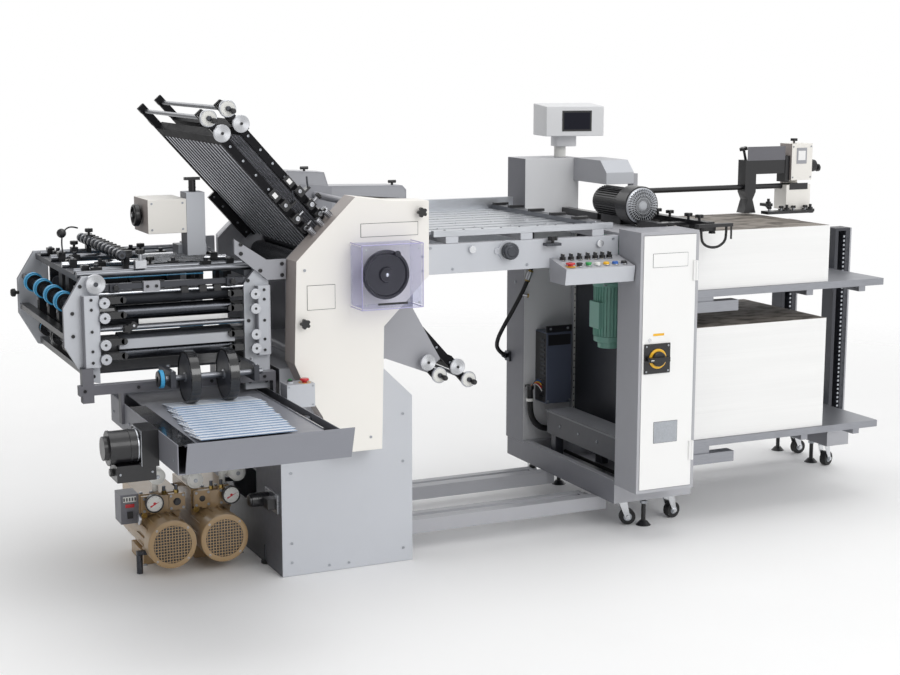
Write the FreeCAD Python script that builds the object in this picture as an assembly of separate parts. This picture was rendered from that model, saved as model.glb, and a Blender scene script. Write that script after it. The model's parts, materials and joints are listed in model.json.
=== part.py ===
"""Industrial paper folding machine: pile feeder, register table, buckle fold unit, cross-fold unit and delivery.

Millimetres, +Z up. The origin is the centre of the fold stand's bottom face on the floor. +X runs from the
delivery towards the pile feeder, and the operator stands on the -Y side.
"""
import FreeCAD
import Part
import math
import os

# ---------------------------------------------------------------- driving dimensions
FLOOR = 0.0
RUN_GAP = 0.3                  # clearance beside anything that moves or is seated loosely
SHAFT_GAP = 0.05               # radial clearance of a shaft in its bore

# Fold stand: the floor cabinet under the buckle fold unit
STAND_LEFT = -201.0
STAND_RIGHT = 200.0
STAND_HALF_DEPTH = 332.0
STAND_HEIGHT = 600.0
STAND_WALL = 3.0
STAND_CHAMFER_LOW = 491.0      # height where the right wall starts to lean in
STAND_TOP_RIGHT = 88.0         # right edge of the top plate
STAND_WINDOW_HALF = 110.0
STAND_WINDOW_LOW = 150.0
STAND_WINDOW_HIGH = 400.0

# Buckle fold unit: two side plates carry six rollers and four fold plates on a sloping axis
SLOPE_DEG = 48.0
STACK_X = 20.0
STACK_Z = 875.0
ROLLER_PITCH = 56.0
ROLLER_RADIUS = 27.6
ROLLER_HALF_LENGTH = 305.0
JOURNAL_RADIUS = 12.0
SIDE_PLATE = 15.0
SIDE_PLATE_INNER = 310.0       # inner faces of the two side plates, each side of the middle
UPPER_RIB_START = 75.0         # distances along the slope from the roller stack's centre
UPPER_BAR_AT = 494.0
UPPER_RAIL_END = 604.0
UPPER_DISC_AT = 529.0
UPPER_DIAL_AT = 583.0
LOWER_RIB_START = 75.0
LOWER_BAR_AT = 344.0
LOWER_DISC_AT = 363.0
LOWER_DIAL_AT = 417.0
LOWER_RAIL_END = 439.0
LOWER_SECOND_SHIFT = 77.0      # the upper one of the lower plates sits this much further out
UPPER_SECOND_SHIFT = -17.0
RAIL_HEIGHT = 22.0
RAIL_WIDTH = 16.0
RIB_PITCH = 36.0
RIB_WIDTH = 12.0
RIB_HEIGHT = 6.0
RIB_LEVEL = 4.0                # from a plate's middle to the backs of its ribs
DIAL_RADIUS = 23.5
DIAL_THICK = 7.0
CRANK_KNOB_RADIUS = 8.0
ADJUSTER_SHAFT_RADIUS = 6.0

# Cream side cover and the clear handwheel guard
COVER_NEAR_Y = -407.0
COVER_WALL = 2.5
COVER_CORNER = 14.0
GUARD_X0 = -16.0
GUARD_X1 = 164.0
GUARD_Z0 = 773.0
GUARD_Z1 = 949.0
GUARD_NEAR_Y = -491.0
GUARD_WALL = 3.0
HANDWHEEL_X = 65.0
HANDWHEEL_Z = 864.0
HANDWHEEL_RADIUS = 68.0
HANDWHEEL_THICK = 16.0
STAR_KNOB_RADIUS = 14.0

# Cross-fold unit on the delivery side of the stand
CROSS_LEFT = -785.0
CROSS_RIGHT = -225.0
CROSS_HALF_DEPTH = 325.0
CROSS_PLATE = 14.0
CROSS_LOW = 599.7
CROSS_HIGH = 885.0
CROSS_ROLLER_RADIUS = 19.0
CROSS_JOURNAL_RADIUS = 7.0
CROSS_ROLLER_LEVELS = (817.0, 777.0, 706.0, 667.5)
CROSS_ROLLER_Y = 53.0 - CROSS_HALF_DEPTH    # the rollers run just inside the near frame plate
CROSS_ADJUSTER_LEFT = -684.0
CROSS_ADJUSTER_RIGHT = -273.0
ADJUSTER_RADIUS = 14.0
CROSS_LEFT_INNER = -694.0      # the frame plates' edges towards the middle of the unit
CROSS_RIGHT_INNER = -296.0
CROSS_FOOT = 549.0
SILL_LOW = 684.0
PAN_TOP = 612.0
BRACKET_END = -178.0
CROSS_TIE_TOP = 862.0 + 16.0          # top of the ties along Y that carry the bars above
GATE_Y = -60.0                 # the rod that carries the gate drive

# Delivery: press discs, sheet table and its drive
DRIVE_ROLLER_Y = -650.0        # the table's drive roller and its motor
PRESS_SHAFT_Y = -CROSS_HALF_DEPTH - 100.0
PRESS_SHAFT_Z = 618.0
PRESS_SHAFT_RADIUS = 8.0
PRESS_DISC_RADIUS = 70.0
PRESS_DISC_WIDTH = 26.0
PRESS_DISC_X = (-482.0, -377.0)
TABLE_LEVEL = 540.0
TRAY_LEFT = -640.0
TRAY_RIGHT = -226.0
TRAY_NEAR = -862.0
TRAY_FAR = -200.0
TRAY_DEPTH = 70.0
TRAY_WALL = 3.0
SHEET_COUNT = 15

# Vacuum pumps under the delivery
PUMP_X = (-480.0, -328.0)
PUMP_Z = 97.0
PUMP_RADIUS = 70.0
PUMP_NEAR_Y = -200.0
PUMP_FLAT_Z = 30.0

# Register table between feeder and fold unit
TABLE_FRAME_LEFT = 130.0       # the side frames run in between the fold unit's side plates and covers
TABLE_LEFT = 225.0
TABLE_RIGHT = 869.0
TABLE_FRAME_LOW = 839.0
TABLE_FRAME_TOP = 925.0
TABLE_HALF_DEPTH = 349.0
TABLE_FRAME_THICK = 24.0
SLAT_TOP = 955.0
SLAT_COUNT = 9
SLAT_WIDTH = 46.0

# Feeder frame, cabinets and hood
FEEDER_LEFT = 870.0
FEEDER_RIGHT = 1073.0
BASE_RIGHT = 1150.0
BASE_LOW = 93.0
BASE_HIGH = 166.0
CABINET_FAR_Y = -TABLE_HALF_DEPTH
CABINET_NEAR_Y = CABINET_FAR_Y - 126.0
CABINET_LOW = 154.0
CABINET_HIGH = 944.0
DOOR_INSET = 10.0
DOOR_THICK = 4.0
HINGE_RADIUS = 4.5
REAR_NEAR_Y = 256.0
REAR_FAR_Y = 383.0
HOOD_TOP = 1119.0
HOOD_ARM_RIGHT = 1157.0
HOOD_ARM_NEAR_Y = 40.0
HOOD_ARM_LOW = 1043.0

# Air hose and cable conduit between the feed deck, the rear cabinet and the duct
DUCT_LOW = 210.0
BAR_HOSE_RADIUS = 4.0
BAR_HOSE_ROUTE = [(1102.0, -440.0, 946.0), (1102.0, -440.0, 918.0), (1108.0, -442.0, 896.0), (1134.0, -444.0, 884.0),
                  (1164.0, -444.0, 886.0), (1188.0, -442.0, 902.0), (1192.0, -440.0, 924.0), (1192.0, -440.0, 946.0)]
HOSE_RADIUS = 7.0
HOSE_ROUTE = [(886.0, 236.0, 905.0), (886.0, 236.0, 845.0), (891.0, 236.0, 765.0), (867.0, 242.0, 696.0),
              (836.0, 262.0, 622.0), (808.0, 286.0, 556.0), (802.0, 322.0, 505.0), (816.0, 350.0, 466.0),
              (848.0, 362.0, 446.0)]
CONDUIT_RADIUS = 10.0
CONDUIT_ROUTE = [(884.0, 234.0, 345.0), (884.0, 234.0, 300.0), (886.0, 232.0, 256.0), (903.0, 229.0, 224.0),
                 (934.0, 222.0, 204.0), (985.0, 222.0, 204.0)]

# Pile lift
BOARD_LEFT = 1100.0
BOARD_RIGHT = 1885.0
PILE_LEFT = 1120.0
PILE_RIGHT = 1665.0
PILE_NEAR_Y = -335.0
PILE_FAR_Y = 120.0
BOARD_THICK = 22.0
UPPER_BOARD_TOP = 738.0
UPPER_PILE_TOP = 921.0
LOWER_BOARD_TOP = 262.0
LOWER_PILE_TOP = 620.0
COLUMN_X0 = 1941.0
COLUMN_X1 = 2008.0
COLUMN_NEAR_Y = -16.0
COLUMN_FAR_Y = 275.0
COLUMN_DEPTH = 60.0
COLUMN_TOP = 868.0

V = FreeCAD.Vector
X_AXIS = V(1, 0, 0)
Y_AXIS = V(0, 1, 0)
Z_AXIS = V(0, 0, 1)


# ---------------------------------------------------------------- small building blocks
def box(x0, x1, y0, y1, z0, z1):
    """Rectangular block between two opposite corners."""
    return Part.makeBox(x1 - x0, y1 - y0, z1 - z0, V(x0, y0, z0))


def rod(start, axis, radius, length):
    """Round bar from a start point along an axis."""
    return Part.makeCylinder(radius, length, V(*start), axis)


def tube(start, axis, outer, inner, length):
    """Round tube from a start point along an axis."""
    return rod(start, axis, outer, length).cut(rod(start, axis, inner, length))


def prism_y(outline, y0, y1):
    """Outline in X and Z, carried along Y."""
    points = [V(x, y0, z) for x, z in outline]
    face = Part.Face(Part.makePolygon(points + points[:1]))
    return face.extrude(V(0, y1 - y0, 0))


def prism_x(outline, x0, x1):
    """Outline in Y and Z, carried along X."""
    points = [V(x0, y, z) for y, z in outline]
    face = Part.Face(Part.makePolygon(points + points[:1]))
    return face.extrude(V(x1 - x0, 0, 0))


def rounded(solid, radius, axis):
    """The solid with the edges that run along an axis rounded."""
    edges = []
    for edge in solid.Edges:
        if len(edge.Vertexes) != 2:
            continue
        along = edge.Vertexes[1].Point.sub(edge.Vertexes[0].Point)
        if along.Length > 0 and abs(along.normalize().dot(axis)) > 0.999:
            edges.append(edge)
    return solid.makeFillet(radius, edges)


def shell_box(x0, x1, y0, y1, z0, z1, wall, open_side):
    """Sheet box with one open side, named by its axis and sign, such as '-y'."""
    inner = dict(x0=x0 + wall, x1=x1 - wall, y0=y0 + wall, y1=y1 - wall, z0=z0 + wall, z1=z1 - wall)
    if open_side:
        key = open_side[1] + ("0" if open_side[0] == "-" else "1")
        inner[key] += -2 * wall if open_side[0] == "-" else 2 * wall
    return box(x0, x1, y0, y1, z0, z1).cut(box(**inner))


def join(shapes):
    """Pieces that are welded into one, as one solid."""
    result = shapes[0].fuse(shapes[1:]) if len(shapes) > 1 else shapes[0]
    return result.removeSplitter()


def on_slope(shape):
    """Places a shape made about the roller stack's centre, with local X down the slope to the right."""
    placed = shape.copy()
    placed.rotate(V(0, 0, 0), Y_AXIS, SLOPE_DEG)
    placed.translate(V(STACK_X, 0, STACK_Z))
    return placed


def slope_point(along, above):
    """Part-frame X and Z of a point given down the slope and square to it."""
    angle = math.radians(SLOPE_DEG)
    x = STACK_X + along * math.cos(angle) + above * math.sin(angle)
    z = STACK_Z - along * math.sin(angle) + above * math.cos(angle)
    return x, z


def star_knob(base, axis, radius=STAR_KNOB_RADIUS, stem=12.0):
    """Five-lobed clamping knob on a stem, growing from its base point along its axis."""
    start = V(*base)
    head = 0.75 * radius
    hub_from = start.add(V(axis).multiply(stem))
    parts = [Part.makeCylinder(0.32 * radius, stem + head / 2, start, axis)]
    parts.append(Part.makeCylinder(0.72 * radius, head, hub_from, axis))
    side = axis.cross(Z_AXIS) if abs(axis.dot(Z_AXIS)) < 0.9 else axis.cross(X_AXIS)
    side.normalize()
    turned = FreeCAD.Rotation(axis, 72)
    for lobe in range(5):
        centre = hub_from.add(V(side).multiply(0.68 * radius))
        parts.append(Part.makeCylinder(0.34 * radius, head, centre, axis))
        side = turned.multVec(side)
    return join(parts)


NODES = {}


def node(name, *solids):
    """Collects the solids of one named node."""
    NODES.setdefault(name, []).extend(solids)


# ---------------------------------------------------------------- fold stand
def stand_outline(inset):
    """Stand outline in X and Z with its leaning right shoulder, drawn in by a wall."""
    return [
        (STAND_LEFT + inset, FLOOR + inset),
        (STAND_RIGHT - inset, FLOOR + inset),
        (STAND_RIGHT - inset, STAND_CHAMFER_LOW - 0.4 * inset),
        (STAND_TOP_RIGHT - 0.4 * inset, STAND_HEIGHT - inset),
        (STAND_LEFT + inset, STAND_HEIGHT - inset),
    ]


def make_stand():
    """Sheet-metal floor cabinet with a window in its left wall."""
    outer = prism_y(stand_outline(0.0), -STAND_HALF_DEPTH, STAND_HALF_DEPTH)
    inner_depth = STAND_HALF_DEPTH - STAND_WALL
    inner = prism_y(stand_outline(STAND_WALL), -inner_depth, inner_depth)
    window = box(STAND_LEFT - STAND_WALL, STAND_LEFT + 2 * STAND_WALL, -STAND_WINDOW_HALF, STAND_WINDOW_HALF,
                 STAND_WINDOW_LOW, STAND_WINDOW_HIGH)
    node("stand_cabinet", outer.cut(inner).cut(window))


# ---------------------------------------------------------------- buckle fold unit
ROLLER_ROWS = (-ROLLER_PITCH, 0.0, ROLLER_PITCH)
ROLLER_COLUMNS = (-ROLLER_PITCH / 2, ROLLER_PITCH / 2)
PLATE_ROWS = (-ROLLER_PITCH / 2, ROLLER_PITCH / 2)
SIDE_OUTER = SIDE_PLATE_INNER + SIDE_PLATE
PLATE_RAIL_OUT = SIDE_PLATE_INNER - RUN_GAP
SIDE_OUTLINE = [
    (-172.0, STAND_HEIGHT),
    (STAND_TOP_RIGHT, STAND_HEIGHT),
    (121.0, 603.0),
    (250.0, 552.0),
    (292.0, 590.0),
    (206.0, 742.0),
    (206.0, 1046.0),
    (0.0, 1066.0),
    (-172.0, 900.0),
]


def roller_centres():
    """X and Z of the six fold rollers, in driving order."""
    return [slope_point(along, above) for above in ROLLER_ROWS for along in ROLLER_COLUMNS]


def make_side_plates():
    """Two thick side plates with roller bores, tied by three bars."""
    ties = [(-150.0, 640.0), (150.0, 1020.0), (110.0, 625.0)]
    for near in (-SIDE_OUTER, SIDE_PLATE_INNER):
        plate = prism_y(SIDE_OUTLINE, near, near + SIDE_PLATE)
        for x, z in roller_centres():
            bore = JOURNAL_RADIUS + SHAFT_GAP
            plate = plate.cut(rod((x, near - 1, z), Y_AXIS, bore, SIDE_PLATE + 2))
        node("fold_side_frames", plate)
    for x, z in ties:
        node("fold_side_frames", rod((x, -SIDE_PLATE_INNER, z), Y_AXIS, 11.0, 2 * SIDE_PLATE_INNER))
    for above in PLATE_ROWS:
        for sign in (-1, 1):
            y0 = -SIDE_OUTER - 14.0 if sign < 0 else SIDE_OUTER
            block = on_slope(box(96.0, 150.0, y0, y0 + 14.0, above - 20.0, above + 20.0))
            node("fold_side_frames", block)


def make_rollers():
    """Six knurled fold rollers with stepped journals."""
    for number, (x, z) in enumerate(roller_centres(), start=1):
        body = rod((x, -ROLLER_HALF_LENGTH, z), Y_AXIS, ROLLER_RADIUS, 2 * ROLLER_HALF_LENGTH)
        near_end = -SIDE_OUTER - 6.0
        journal = rod((x, near_end, z), Y_AXIS, JOURNAL_RADIUS, -2 * near_end)
        node(f"fold_roller_{number}", join([body, journal]))


def fold_plate(side, above, shift):
    """One fold plate: side rails, cross bars and silver ribs. side is -1 for upper plates, +1 for lower ones."""
    if side < 0:
        start, bar_at, rail_end = UPPER_RIB_START, UPPER_BAR_AT + shift, UPPER_RAIL_END + shift
    else:
        start, bar_at, rail_end = LOWER_RIB_START, LOWER_BAR_AT + shift, LOWER_RAIL_END + shift
    low = above - RAIL_HEIGHT / 2
    high = above + RAIL_HEIGHT / 2

    def span(a, b, y0, y1, z0, z1):
        return box(min(side * a, side * b), max(side * a, side * b), y0, y1, z0, z1)

    rail_out = PLATE_RAIL_OUT
    rail_in = rail_out - RAIL_WIDTH
    members = []
    for sign in (-1, 1):
        members.append(span(start, rail_end, min(sign * rail_in, sign * rail_out),
                            max(sign * rail_in, sign * rail_out), low, high))
    members.append(span(bar_at, bar_at + 30.0, -rail_out, rail_out, low, high + 6.0))
    members.append(span(start + 8.0, start + 28.0, -rail_out, rail_out, above - RIB_LEVEL, above + RIB_LEVEL))
    node("fold_plate_frames", on_slope(join(members)))
    count = int((2 * rail_in - RIB_WIDTH) // RIB_PITCH) + 1
    first = -(count - 1) * RIB_PITCH / 2
    for index in range(count):
        centre = first + index * RIB_PITCH
        for level in (above - RIB_LEVEL - RIB_HEIGHT, above + RIB_LEVEL):
            rib = span(start + 8.0, bar_at, centre - RIB_WIDTH / 2, centre + RIB_WIDTH / 2,
                       level, level + RIB_HEIGHT)
            node("fold_plate_ribs", on_slope(rib))


def adjuster(side, above, disc_at, dial_at, disc_seat, dial_name):
    """Silver stop disc on a stub that ends at its seat, and a dial with a crank knob on its own cross shaft."""
    shaft_from = -SIDE_OUTER - 20.0
    lead = rod((side * disc_at, shaft_from - DIAL_THICK, above), Y_AXIS, DIAL_RADIUS, DIAL_THICK)
    lead_shaft = rod((side * disc_at, shaft_from, above), Y_AXIS, ADJUSTER_SHAFT_RADIUS,
                     disc_seat - shaft_from)
    node("bright_rods_and_discs", on_slope(join([lead, lead_shaft])))
    x, z = slope_point(side * dial_at, above)
    dial = rod((x, shaft_from - DIAL_THICK, z), Y_AXIS, DIAL_RADIUS, DIAL_THICK)
    shaft = rod((x, shaft_from, z), Y_AXIS, ADJUSTER_SHAFT_RADIUS, -2 * shaft_from - 10.0)
    hub = rod((x, shaft_from - DIAL_THICK - 8.0, z), Y_AXIS, 7.0, 8.0)
    knob_x = x + 10.0
    knob_z = z - 6.0
    knob = rod((knob_x, shaft_from - DIAL_THICK - 22.0, knob_z), Y_AXIS, CRANK_KNOB_RADIUS, 22.0)
    node(dial_name, join([dial, shaft, hub, knob]))


def make_fold_plates():
    """Four fold plates with their adjusters, and bored bearing ends for the dial shafts."""
    layout = [
        (-1, PLATE_ROWS[0], 0.0, "upper_dial_1"),
        (-1, PLATE_ROWS[1], UPPER_SECOND_SHIFT, "upper_dial_2"),
        (1, PLATE_ROWS[0], 0.0, "lower_dial_1"),
        (1, PLATE_ROWS[1], LOWER_SECOND_SHIFT, "lower_dial_2"),
    ]
    for side, above, shift, dial_name in layout:
        fold_plate(side, above, shift)
        disc_at = (UPPER_DISC_AT if side < 0 else LOWER_DISC_AT) + shift
        dial_at = (UPPER_DIAL_AT if side < 0 else LOWER_DIAL_AT) + shift
        on_frame = dial_name == "lower_dial_1"
        adjuster(side, above, disc_at, dial_at, -SIDE_OUTER if on_frame else -PLATE_RAIL_OUT, dial_name)
        x, z = slope_point(side * dial_at, above)
        bore = rod((x, -SIDE_OUTER, z), Y_AXIS, ADJUSTER_SHAFT_RADIUS + SHAFT_GAP, 2 * SIDE_OUTER)
        frames = NODES["fold_plate_frames"]
        frames[-1] = frames[-1].cut(bore)


# ---------------------------------------------------------------- side covers and main handwheel
COVER_FAR_Y = -SIDE_OUTER - RUN_GAP
COVER_OUTLINE = [
    (-1.0, 1074.0),
    (-173.0, 905.0),
    (-182.0, 624.0),
    (-156.0, 563.0),
    (-130.0, 515.0),
    (-102.0, 469.0),
    (-94.0, 425.0),
    (-25.0, 362.0),
    (75.0, 362.0),
    (83.0, 711.0),
    (220.0, 846.0),
    (220.0, 1056.0),
    (104.0, 1060.0),
]
GUARD_FAR_Y = COVER_NEAR_Y
WHEEL_NEAR_Y = -472.0


def inset_outline(outline, distance):
    """The outline drawn in by a distance along each corner's bisector."""
    count = len(outline)
    area = sum(outline[i][0] * outline[(i + 1) % count][1] - outline[(i + 1) % count][0] * outline[i][1]
               for i in range(count))
    turn = 1.0 if area > 0 else -1.0
    result = []
    for i, (x, z) in enumerate(outline):
        before = outline[i - 1]
        after = outline[(i + 1) % count]
        first = V(x - before[0], z - before[1], 0).normalize()
        second = V(after[0] - x, after[1] - z, 0).normalize()
        inward = V(-first.y - second.y, first.x + second.x, 0).multiply(turn)
        scale = 2 * distance / inward.dot(inward)
        result.append((x + inward.x * scale, z + inward.y * scale))
    return result


def make_side_cover():
    """Cream cover over the near side's gears, open towards the side plate, with a hole for the wheel shaft."""
    outer = prism_y(COVER_OUTLINE, COVER_NEAR_Y, COVER_FAR_Y)
    inner = prism_y(inset_outline(COVER_OUTLINE, COVER_WALL), COVER_NEAR_Y + COVER_WALL, COVER_FAR_Y + 1)
    housing = rod((HANDWHEEL_X, COVER_NEAR_Y, HANDWHEEL_Z), Y_AXIS, 24.0, 32.0)
    shaft_hole = rod((HANDWHEEL_X, COVER_NEAR_Y - 1, HANDWHEEL_Z), Y_AXIS, JOURNAL_RADIUS + SHAFT_GAP, 40.0)
    stand_face = max(STAND_HALF_DEPTH, SIDE_OUTER)
    stand_room = box(-300, STAND_RIGHT + RUN_GAP, -stand_face - RUN_GAP, COVER_FAR_Y + 1, 300,
                     STAND_HEIGHT + RUN_GAP)
    table_face = max(TABLE_HALF_DEPTH, SIDE_OUTER)
    table_room = box(TABLE_FRAME_LEFT - RUN_GAP, 300, -table_face - RUN_GAP, COVER_FAR_Y + 1,
                     TABLE_FRAME_LOW - RUN_GAP, TABLE_FRAME_TOP + RUN_GAP)
    roller_room = on_slope(box(94.0, 400.0, -SIDE_OUTER - 20.0, COVER_FAR_Y + 1, -60.0, 60.0))
    shell = outer.cut(inner).cut(stand_room).cut(table_room).cut(roller_room)
    shell = shell.fuse(housing).cut(shaft_hole).removeSplitter()
    node("side_cover", max(shell.Solids, key=lambda solid: solid.Volume))
    for x, z in ((191.0, 1026.0), (-156.0, 736.0)):
        node("fixed_knobs", star_knob((x, COVER_NEAR_Y, z), V(0, -1, 0)))


def make_guard():
    """Clear box over the handwheel, open at the left side where the hand reaches in."""
    outer = box(GUARD_X0, GUARD_X1, GUARD_NEAR_Y, GUARD_FAR_Y, GUARD_Z0, GUARD_Z1)
    outer = rounded(outer, 12.0, Y_AXIS)
    inner = box(GUARD_X0 + GUARD_WALL, GUARD_X1 - GUARD_WALL, GUARD_NEAR_Y + GUARD_WALL, GUARD_FAR_Y + 1,
                GUARD_Z0 + GUARD_WALL, GUARD_Z1 - GUARD_WALL)
    node("handwheel_guard", outer.cut(inner))


def make_handwheel():
    """Dished wheel with a silver hub and a crank knob, on a shaft borne in the side cover."""
    x, z = HANDWHEEL_X, HANDWHEEL_Z
    disc = rod((x, WHEEL_NEAR_Y, z), Y_AXIS, HANDWHEEL_RADIUS, HANDWHEEL_THICK)
    dish = rod((x, WHEEL_NEAR_Y - 1, z), Y_AXIS, HANDWHEEL_RADIUS - 9.0, 7.0)
    hub = rod((x, WHEEL_NEAR_Y - 2, z), Y_AXIS, 19.0, HANDWHEEL_THICK + 4.0)
    shaft_end = -SIDE_OUTER - 20.0
    shaft = rod((x, WHEEL_NEAR_Y + HANDWHEEL_THICK, z), Y_AXIS, JOURNAL_RADIUS,
                shaft_end - WHEEL_NEAR_Y - HANDWHEEL_THICK)
    knob = rod((x + 26.0, WHEEL_NEAR_Y - 8.0, z + 38.0), Y_AXIS, 9.0, 20.0)
    node("main_handwheel", join([disc.cut(dish), hub, shaft, knob]))


def make_rear_cover():
    """Grey cover over the belt drive on the far side."""
    outline = [(-150.0, STAND_HEIGHT + 20.0), (250.0, STAND_HEIGHT + 20.0), (470.0, 800.0), (470.0, 1026.0),
               (456.0, 1040.0), (200.0, 1046.0), (186.0, 1090.0), (60.0, 1098.0), (-150.0, 900.0)]
    far_y = SIDE_OUTER + 80.0
    outer = prism_y(outline, SIDE_OUTER + RUN_GAP, far_y)
    inner = prism_y(inset_outline(outline, COVER_WALL), SIDE_OUTER, far_y - COVER_WALL)
    table_face = max(TABLE_HALF_DEPTH, SIDE_OUTER)
    table_room = box(TABLE_FRAME_LEFT - RUN_GAP, 500.0, SIDE_OUTER - 1, table_face + RUN_GAP,
                     TABLE_FRAME_LOW - RUN_GAP, TABLE_FRAME_TOP + RUN_GAP)
    plate_room = on_slope(box(94.0, 560.0, SIDE_OUTER - 1, SIDE_OUTER + 40.0, -62.0, 62.0))
    shell = outer.cut(inner).cut(table_room).cut(plate_room)
    node("rear_drive_cover", max(shell.Solids, key=lambda solid: solid.Volume))


# ---------------------------------------------------------------- cross-fold unit
def cross_left_outline():
    """Left half-octagon of the cross unit's frame plates."""
    inner = CROSS_LEFT_INNER
    return [(CROSS_LEFT, 703.0), (CROSS_LEFT, 805.0), (-735.0, CROSS_HIGH), (inner, CROSS_HIGH),
            (inner, CROSS_LOW), (-732.0, CROSS_LOW + 8.0)]


def cross_right_outline():
    """Right frame plate with its peak and its foot."""
    inner = CROSS_RIGHT_INNER
    return [(inner, CROSS_FOOT), (inner, 842.0), (-260.0, CROSS_HIGH), (-244.0, CROSS_HIGH),
            (CROSS_RIGHT, 847.0), (CROSS_RIGHT, CROSS_FOOT)]


def make_cross_frames():
    """Four frame plates tied by a far sill and by bars along Y, with rounded block covers and two brackets."""
    y_out = CROSS_HALF_DEPTH
    y_in = CROSS_HALF_DEPTH - CROSS_PLATE
    for y0 in (-y_out, y_in):
        node("cross_side_plates", prism_y(cross_left_outline(), y0, y0 + CROSS_PLATE))
        node("cross_side_plates", prism_y(cross_right_outline(), y0, y0 + CROSS_PLATE))
    node("cross_side_plates", box(CROSS_LEFT_INNER, CROSS_RIGHT_INNER, y_in, y_out, SILL_LOW, SILL_LOW + 26.0))
    hooked = [(-324.0, 926.0), (-324.0, 966.0), (-232.0, 905.0), (BRACKET_END, 905.0), (BRACKET_END, 850.0),
              (-232.0, 850.0)]
    plain = [(-238.0, 850.0), (-238.0, 890.0), (-232.0, 905.0), (BRACKET_END, 905.0), (BRACKET_END, 850.0)]
    node("cross_side_plates", prism_y(hooked, -y_out - 12.0, -y_out))
    node("cross_side_plates", prism_y(plain, y_out, y_out + 12.0))
    for x0, x1 in ((CROSS_LEFT_INNER - 46.0, CROSS_LEFT_INNER), (CROSS_RIGHT - 42.0, CROSS_RIGHT - 1.0)):
        cover = box(x0, x1, -y_out - 23.0, -y_out, 646.0, 837.0)
        node("cross_side_plates", rounded(cover, 8.0, Z_AXIS))
    for x0, z0 in ((CROSS_LEFT + 5.0, 717.0), (-726.0, PAN_TOP), (-294.0, 560.0), (-256.0, PAN_TOP)):
        node("cross_fittings", box(x0, x0 + 26.0, -y_in, y_in, z0, z0 + 16.0))
    node("cross_fittings", box(-720.0, -240.0, -y_in + 90.0, y_in, PAN_TOP - 6.0, PAN_TOP))
    for y0 in (-y_in + 20.0, y_in - 60.0):
        beam = box(CROSS_RIGHT + RUN_GAP, STAND_LEFT, y0, y0 + 40.0, 555.0, 595.0)
        plate = box(CROSS_RIGHT - 65.0, CROSS_RIGHT + RUN_GAP, y0, y0 + 40.0, 576.0, 595.0)
        node("cross_fittings", join([beam, plate]))


def make_cross_rollers():
    """Four rollers along X in arms beside the near frame plate, and their pressure adjusters."""
    left = CROSS_ADJUSTER_LEFT + 26.0
    right = CROSS_ADJUSTER_RIGHT - 26.0
    for number, level in enumerate(CROSS_ROLLER_LEVELS, start=1):
        body = rod((left + 22.0, CROSS_ROLLER_Y, level), X_AXIS, CROSS_ROLLER_RADIUS, right - left - 44.0)
        journal = rod((left, CROSS_ROLLER_Y, level), X_AXIS, CROSS_JOURNAL_RADIUS, right - left)
        node(f"cross_roller_{number}", join([body, journal]))
        for x0, x1 in ((left - 44.0, left + 20.0), (right - 20.0, right + 44.0)):
            near = -CROSS_HALF_DEPTH + CROSS_PLATE
            arm = box(x0, x1, near, CROSS_ROLLER_Y + 14.0, level - 11.0, level + 11.0)
            bore = rod((left - 1, CROSS_ROLLER_Y, level), X_AXIS, CROSS_JOURNAL_RADIUS + SHAFT_GAP,
                       right - left + 2)
            node("cross_fittings", arm.cut(bore))
        for x in (CROSS_ADJUSTER_LEFT, CROSS_ADJUSTER_RIGHT):
            disc = rod((x, -CROSS_HALF_DEPTH - 34.0, level), Y_AXIS, ADJUSTER_RADIUS, 10.0)
            seat = CROSS_PLATE if x < CROSS_LEFT_INNER + 20.0 else 0.0
            screw = rod((x, -CROSS_HALF_DEPTH - 24.0, level), Y_AXIS, 5.0, 24.0 + seat)
            node("bright_rods_and_discs", join([disc, screw]))
    near_in = -CROSS_HALF_DEPTH + CROSS_PLATE
    node("cross_side_plates", box(left + 20.0, right - 20.0, near_in, near_in + 14.0, SILL_LOW, SILL_LOW + 26.0))


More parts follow.
